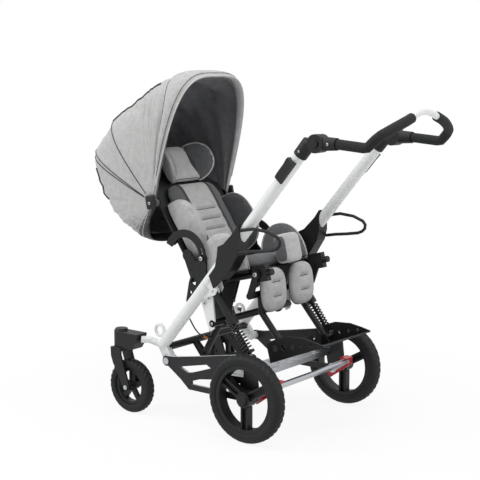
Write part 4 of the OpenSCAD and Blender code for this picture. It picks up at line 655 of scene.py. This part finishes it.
# Canopy: melange cloth sewn from panels over steel bows, with a charcoal lining hung inside it.
# The front panel folds over the middle one; a skirt with a gathered edge closes the back.
hood_pin = Vector((0.0, 0.47572 + axle_shift, 0.73645))
hood_height = 0.456
hood_square = 3.6
brim_angle, mid_angle, zip_angle, gather_angle, skirt_angle = -16.0, 43.0, 64.0, 142.0, 160.0
hood_table = (
    (-16, 0.99), (-13, 1.0), (3, 0.95), (16, 0.885), (26, 0.855), (43, 0.862), (54, 0.875),
    (64, 0.89), (70, 0.87), (78, 0.79), (93, 0.67), (125, 0.47), (160, 0.36),
)
hem_degrees = 3.0
lining_depth, hem_depth, lining_fold = 0.0245, 0.011, 0.020
roll_depth, pleat_depth, sag_depth, ruck_depth, gather_depth = 0.009, 0.009, 0.006, 0.010, 0.0075
lining_end = 150.0
half_table = ((-16, 0.208), (30, 0.208), (43, 0.2061), (64, 0.2023), (75, 0.2004), (160, 0.2004))


def table_value(table, angle):
    """A value between the points of a table, in even steps."""
    for (a0, v0), (a1, v1) in zip(table, table[1:]):
        if angle <= a1:
            break
    return v0 + (v1 - v0) * (angle - a0) / (a1 - a0)


def hood_point(angle, share, inset=0.0):
    """A point on the hood at an angle back from upright; share runs over the top from right hinge to left."""
    turn = math.pi * min(0.9999, max(0.0001, share))
    reach = (hood_height * table_value(hood_table, angle) - inset) * power(math.sin(turn), 2 / hood_square)
    across = (table_value(half_table, angle) - inset) * power(math.cos(turn), 2 / hood_square)
    a = math.radians(angle)
    return hood_pin + Vector((across, reach * math.sin(a), reach * math.cos(a)))


def hood_sheet(first, last, rows, inset_at):
    """A grid over the hood between two angles; inset_at gives each point's inset from its angle and share."""
    bm = bmesh.new()
    bmesh.ops.create_grid(bm, x_segments=112, y_segments=rows, size=0.5)
    for vert in bm.verts:
        share, angle = vert.co.x + 0.5, first + (last - first) * (vert.co.y + 0.5)
        vert.co = hood_point(angle, share, inset_at(angle, share))
    inside = hood_pin + Vector((0, 0, 0.1))
    bm.normal_update()
    if sum(face.normal.dot(face.calc_center_median() - inside) for face in bm.faces) < 0:
        bmesh.ops.reverse_faces(bm, faces=bm.faces)
    return bm


def hang(made, panel):
    """Attach a piece of the rear canopy panel to the backrest; pieces of the front and middle panels only get
    their transform baked into the mesh and follow no body.
    """
    if panel == "front":
        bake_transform(made)
    elif panel == "mid":
        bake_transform(made)
    else:
        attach(made, "backrest")


def pleat_at(share):
    """The angle of the pleat behind the brim, which lies further back over the top than at the sides."""
    return -6.0 + 8.0 * math.sin(math.pi * share) ** 4


def ripple_at(angle, share, layer):
    """Smooth noise over the hood."""
    return noise.noise(Vector((angle, share, layer)))


def cover_inset(angle, share):
    """The cloth's own shape: a rolled brim, a pleat behind it, rucks towards the hinges, a gathered skirt."""
    side = math.sin(math.pi * share)
    pleat_angle = pleat_at(share)
    roll = 0.0
    if angle < pleat_angle:
        roll = -roll_depth * math.sin(math.pi * (angle - brim_angle) / (pleat_angle - brim_angle))
    pleat = pleat_depth * math.exp(-((angle - pleat_angle) / 2.0) ** 2)
    slack = 0.0
    for start, end in ((pleat_angle, mid_angle), (mid_angle, zip_angle), (zip_angle, skirt_angle)):
        if start < angle < end:
            slack = math.sin(math.pi * (angle - start) / (end - start))
    calm = clamp((abs(share - 0.5) - 0.1) / 0.15)
    drag = math.exp(-((angle - pleat_angle - 9.0) / 9.0) ** 2) * ripple_at(angle / 1.5, share * 3.0, 9.0)
    broad, fine = ripple_at(angle / 4.5, share * 4.0, 1.0), ripple_at(angle / 2.2, share * 6.0, 4.0)
    ruck = 1.4 * drag + broad + 0.5 * fine
    sag = slack * side * (sag_depth + ruck_depth * calm * ruck)
    flank = clamp((abs(share - 0.5) - 0.2) / 0.15)
    tuck = math.sin(share * 260 + 4 * ripple_at(angle / 9, share * 20, 7))
    gather = gather_depth * flank * max(0.0, (angle - 108) / 34) * tuck
    return (roll + pleat) * min(1.0, side * 5) + sag + gather * min(1.0, side * 3)


def lining_inset(angle, share):
    """The lining hangs clear of the bows, in soft folds."""
    fold = ripple_at(angle / 13, share * 6.0, 11.0) + 0.5 * ripple_at(angle / 6, share * 11.0, 3.0)
    free = clamp((angle - brim_angle - hem_degrees) / 10)
    hung = hem_depth + (lining_depth - hem_depth) * free
    return hung + lining_fold * free * fold * math.sin(math.pi * share)


def hem_inset(angle, share):
    """The brim's turned-under edge runs from the cover in to the lining, gathered along its inner side."""
    part = (angle - brim_angle) / hem_degrees
    ripple = math.sin(share * 330 + 5 * ripple_at(share * 30, 2.0, 5.0))
    return 0.002 + hem_depth * max(0.0, part) ** 0.4 + 0.0015 * part * ripple


lining = melange("charcoal_lining", "#747578", "#56575a")
dress(lining, "canopy_front_bow", "canopy_mid_bow")
for panel, hood_node, first, last, rows in (
    ("front", "canopy_front_fabric", brim_angle, mid_angle, 100),
    ("mid", "canopy_mid_fabric", mid_angle, zip_angle, 32),
    ("rear", "canopy_rear_panel", zip_angle, skirt_angle, 96),
):
    bm = hood_sheet(first, last, rows, cover_inset)
    cloth_area = sum(face.calc_area() for face in bm.faces)
    for face in bm.faces:
        spot = face.calc_center_median() - hood_pin
        face.material_index = 2 if math.degrees(math.atan2(spot.y, spot.z)) > gather_angle else 0
    hood = piece("canopy_" + panel + "_cover", bm, cloth_pale, lining, lining, lining)
    wall = hood.modifiers.new("lined", "SOLIDIFY")
    wall.thickness = 0.0018
    wall.offset = -1.0
    wall.material_offset = 1
    wall.material_offset_rim = 0
    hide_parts(hood_node)
    hang(hood, panel)
    lining_first, lining_last = max(first, brim_angle + 0.9 * hem_degrees), min(last, lining_end)
    lining_grid = hood_sheet(lining_first, lining_last, rows // 2, lining_inset)
    inner = piece("canopy_" + panel + "_lining", lining_grid, lining)
    hang(inner, panel)
hem = piece("canopy_brim_hem", hood_sheet(brim_angle, brim_angle + hem_degrees, 10, hem_inset), cloth_pale)
hang(hem, "front")


# Canopy trim: a bound front edge with its seam and pleat, dark piping over the middle bow and along the
# shoulders, a double zip behind it, and a pale draw cord on the black part of the skirt.
def hood_line(angles, shares, lift=0.0005, count=70):
    """Points over the hood from one (angle, share) to another."""
    line = []
    for k in range(count + 1):
        angle = angles[0] + (angles[1] - angles[0]) * k / count
        share = shares[0] + (shares[1] - shares[0]) * k / count
        line.append(hood_point(angle, share, cover_inset(angle, share) - lift))
    return line


def over_top(angle, edge, lift):
    """A line at one angle over the hood, from near one hinge to near the other."""
    return hood_line((angle, angle), (edge, 1 - edge), lift, trim_steps)


def pleat_point(share):
    """A point in the pleat behind the brim, a little proud of the cloth."""
    return hood_point(pleat_at(share), share, cover_inset(pleat_at(share), share) - 0.001)


def shoulders(first, last, share):
    """Two lines from front to back, alike on both sides."""
    return [hood_line((first, last), (s, s)) for s in (share, 1 - share)]


ridge, nape, trim_steps, cord_steps = 0.645, 0.73, 140, 40
cord_angle, cord_lift = 151, 0.006
front_edge = [over_top(brim_angle, 0.01, 0.0)]
front_seam = [over_top(brim_angle + 1.8, 0.02, 0.0008)]
pleat_seam = [[pleat_point(k / trim_steps) for k in range(3, trim_steps - 2)]]
bow_line = [over_top(43.6, 0.006, 0.0006)]
zip_lines = [over_top(angle, 0.006, 0.0006) for angle in (64.6, 67.4)]
cord_shares = [0.475 - 0.2 * k / cord_steps for k in range(cord_steps + 1)]
draw_lines = [[hood_point(cord_angle, 0.5 + side * s, -cord_lift) for s in cord_shares] for side in (1, -1)]
for trim_name, panel, lines, radius, thread in (
    ("canopy_front_binding", "front", front_edge, 0.0026, thread_pale),
    ("canopy_front_seam", "front", front_seam, 0.0009, thread_dark),
    ("canopy_pleat_seam", "front", pleat_seam, 0.0009, thread_dark),
    ("canopy_ridge_piping", "front", shoulders(3, 43, ridge), 0.0042, thread_dark),
    ("canopy_bow_piping", "mid", bow_line, 0.0017, thread_dark),
    ("canopy_zip", "rear", zip_lines, 0.0017, thread_dark),
    ("canopy_back_piping", "rear", shoulders(72, 92, nape), 0.0042, thread_dark),
    ("canopy_draw_cord", "rear", draw_lines, 0.0014, thread_pale),
):
    trim = cord(trim_name, lines, radius, thread, None)
    hang(trim, panel)

# Canopy hinge covers: black moulded blocks over the ends of the bows,
# with rounded edges, one on each side.
block_turn = Matrix.Rotation(math.radians(-12), 4, "X")
block_size = Matrix.Diagonal((0.012, 0.042, 0.048, 1.0))
bm = bmesh.new()
for side in (-1, 1):
    block_at = Matrix.Translation((side * 0.2145, hood_pin.y - 0.002, hood_pin.z + 0.004))
    bmesh.ops.create_cube(bm, size=1.0, matrix=block_at @ block_turn @ block_size)
bmesh.ops.bevel(bm, geom=bm.edges[:], offset=0.005, segments=3, affect="EDGES", profile=0.5)
bmesh.ops.recalc_face_normals(bm, faces=bm.faces)
blocks = piece("canopy_hinge_covers", bm, nylon_black)
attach(blocks, "backrest")

# Calf pads: two rounded pads below the knees, piped round the edge
# and tufted by two rows of stitching.
calf_size = (0.131, 0.073, 0.073)
calf_at = Matrix.Translation((0.080, 0, 0)) @ turned(0.06253, 0.46447, 84)
calf_form = pad_form(*calf_size, 0.033, 3.0, 0.3, calf_at, True)
calf_pair = stuffed("calf_pad_covers", calf_form, 0.003, cloth_pale)
tufts = ((0, -0.022), (0, 0.026))
sew(calf_pair, calf_at, tufts, 0.008, 0.007, 0.014)
finish_pad(calf_pair, "legrest", "calf_pads")
tuft_runs = stitches(calf_pair, calf_at, tufts, 0.021, 5)
tuft_runs += [mirrored(run) for run in tuft_runs]
cord("calf_pad_stitches", tuft_runs, 0.0012, thread_dark, "legrest")
calf_ring = seam_ring(*calf_size, 0.0099, 3.0, calf_at)
cord("calf_pad_piping", [calf_ring, mirrored(calf_ring)], 0.0012, thread_dark, "legrest", closed=True)


# Screw heads: button-head screws with a hexagon socket, where the photo shows them on the outside
# of the gussets, knees, clamps, handle hinges and canopy hinges.
socket_share = 0.45


def screws(name, body, spots, radius, height):
    """Heads at (x, y, z) facing outwards on both sides of the part; y runs from the rear axle."""
    bm = bmesh.new()
    for x, y, z in spots:
        for side in (-1, 1):
            outward = Matrix.Rotation(math.radians(90 * side), 4, "Y")
            for level, low, high, deep in ((0.0, 1.0, 0.94, 0.6), (0.6, 0.94, 0.62, 0.4)):
                middle = side * (x + height * (level + deep / 2))
                at = Matrix.Translation((middle, y + axle_shift, z)) @ outward
                bmesh.ops.create_cone(bm, cap_ends=True, segments=20, radius1=radius * low,
                                      radius2=radius * high, depth=height * deep, matrix=at)
            at = Matrix.Translation((side * (x + height), y + axle_shift, z)) @ outward
            # The socket is a black hexagon standing on the head: painted shade in place of a recess.
            socket = bmesh.ops.create_cone(bm, cap_ends=True, segments=6, radius1=radius * socket_share,
                                           radius2=radius * socket_share, depth=height * 0.1, matrix=at)
            for face in {face for vert in socket["verts"] for face in vert.link_faces}:
                face.material_index = 1
    bmesh.ops.recalc_face_normals(bm, faces=bm.faces)
    made = piece(name, bm, zinc_bright, powder_black)
    for face in made.data.polygons:
        face.use_smooth = False
    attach(made, body)


gusset_spots = ((0.2185, 0.21152, 0.43861), (0.2185, 0.22888, 0.41873), (0.2185, 0.19928, 0.35201))
for screw_name, screw_body, screw_spots, screw_r, screw_h in (
    ("gusset_screws", "chassis", gusset_spots, 0.0058, 0.004),
    ("knee_screws", "seat", ((0.184, 0.04488, 0.53047),), 0.0085, 0.005),
    ("clamp_screws", "seat", ((0.203, 0.25989, 0.56351),), 0.0075, 0.004),
    ("boot_screws", "push_bar", ((0.2462, -0.16930, 0.94400),), 0.0042, 0.003),
    ("knuckle_screws", "handle", ((0.2440, -0.27200, 0.97017),), 0.0048, 0.003),
    ("canopy_screws", "backrest", ((0.2205, 0.47572, 0.73645),), 0.0055, 0.003),
):
    screws(screw_name, screw_body, screw_spots, screw_r, screw_h)

# Release cable end: a turned brass ferrule that holds the outer sleeve of the cable
# at the gas spring's lever.
brass, tree, shader = surface("turned_brass", 0.32, "#b87436", metallic=1.0)
rings = speckle(tree, 220.0, 2.0)
tree.links.new(tones(tree, rings, "#c98642", "#9c5c26"), shader.inputs["Base Color"])
tree.links.new(remap(tree, rings, end=(0.24, 0.42)), shader.inputs["Roughness"])
ferrule_line = [(-0.132, 0.313 + axle_shift, 0.277), (-0.1075, 0.3135 + axle_shift, 0.2660)]
ferrule = cord("cable_ferrule", [ferrule_line], 0.0042, brass, "chassis")
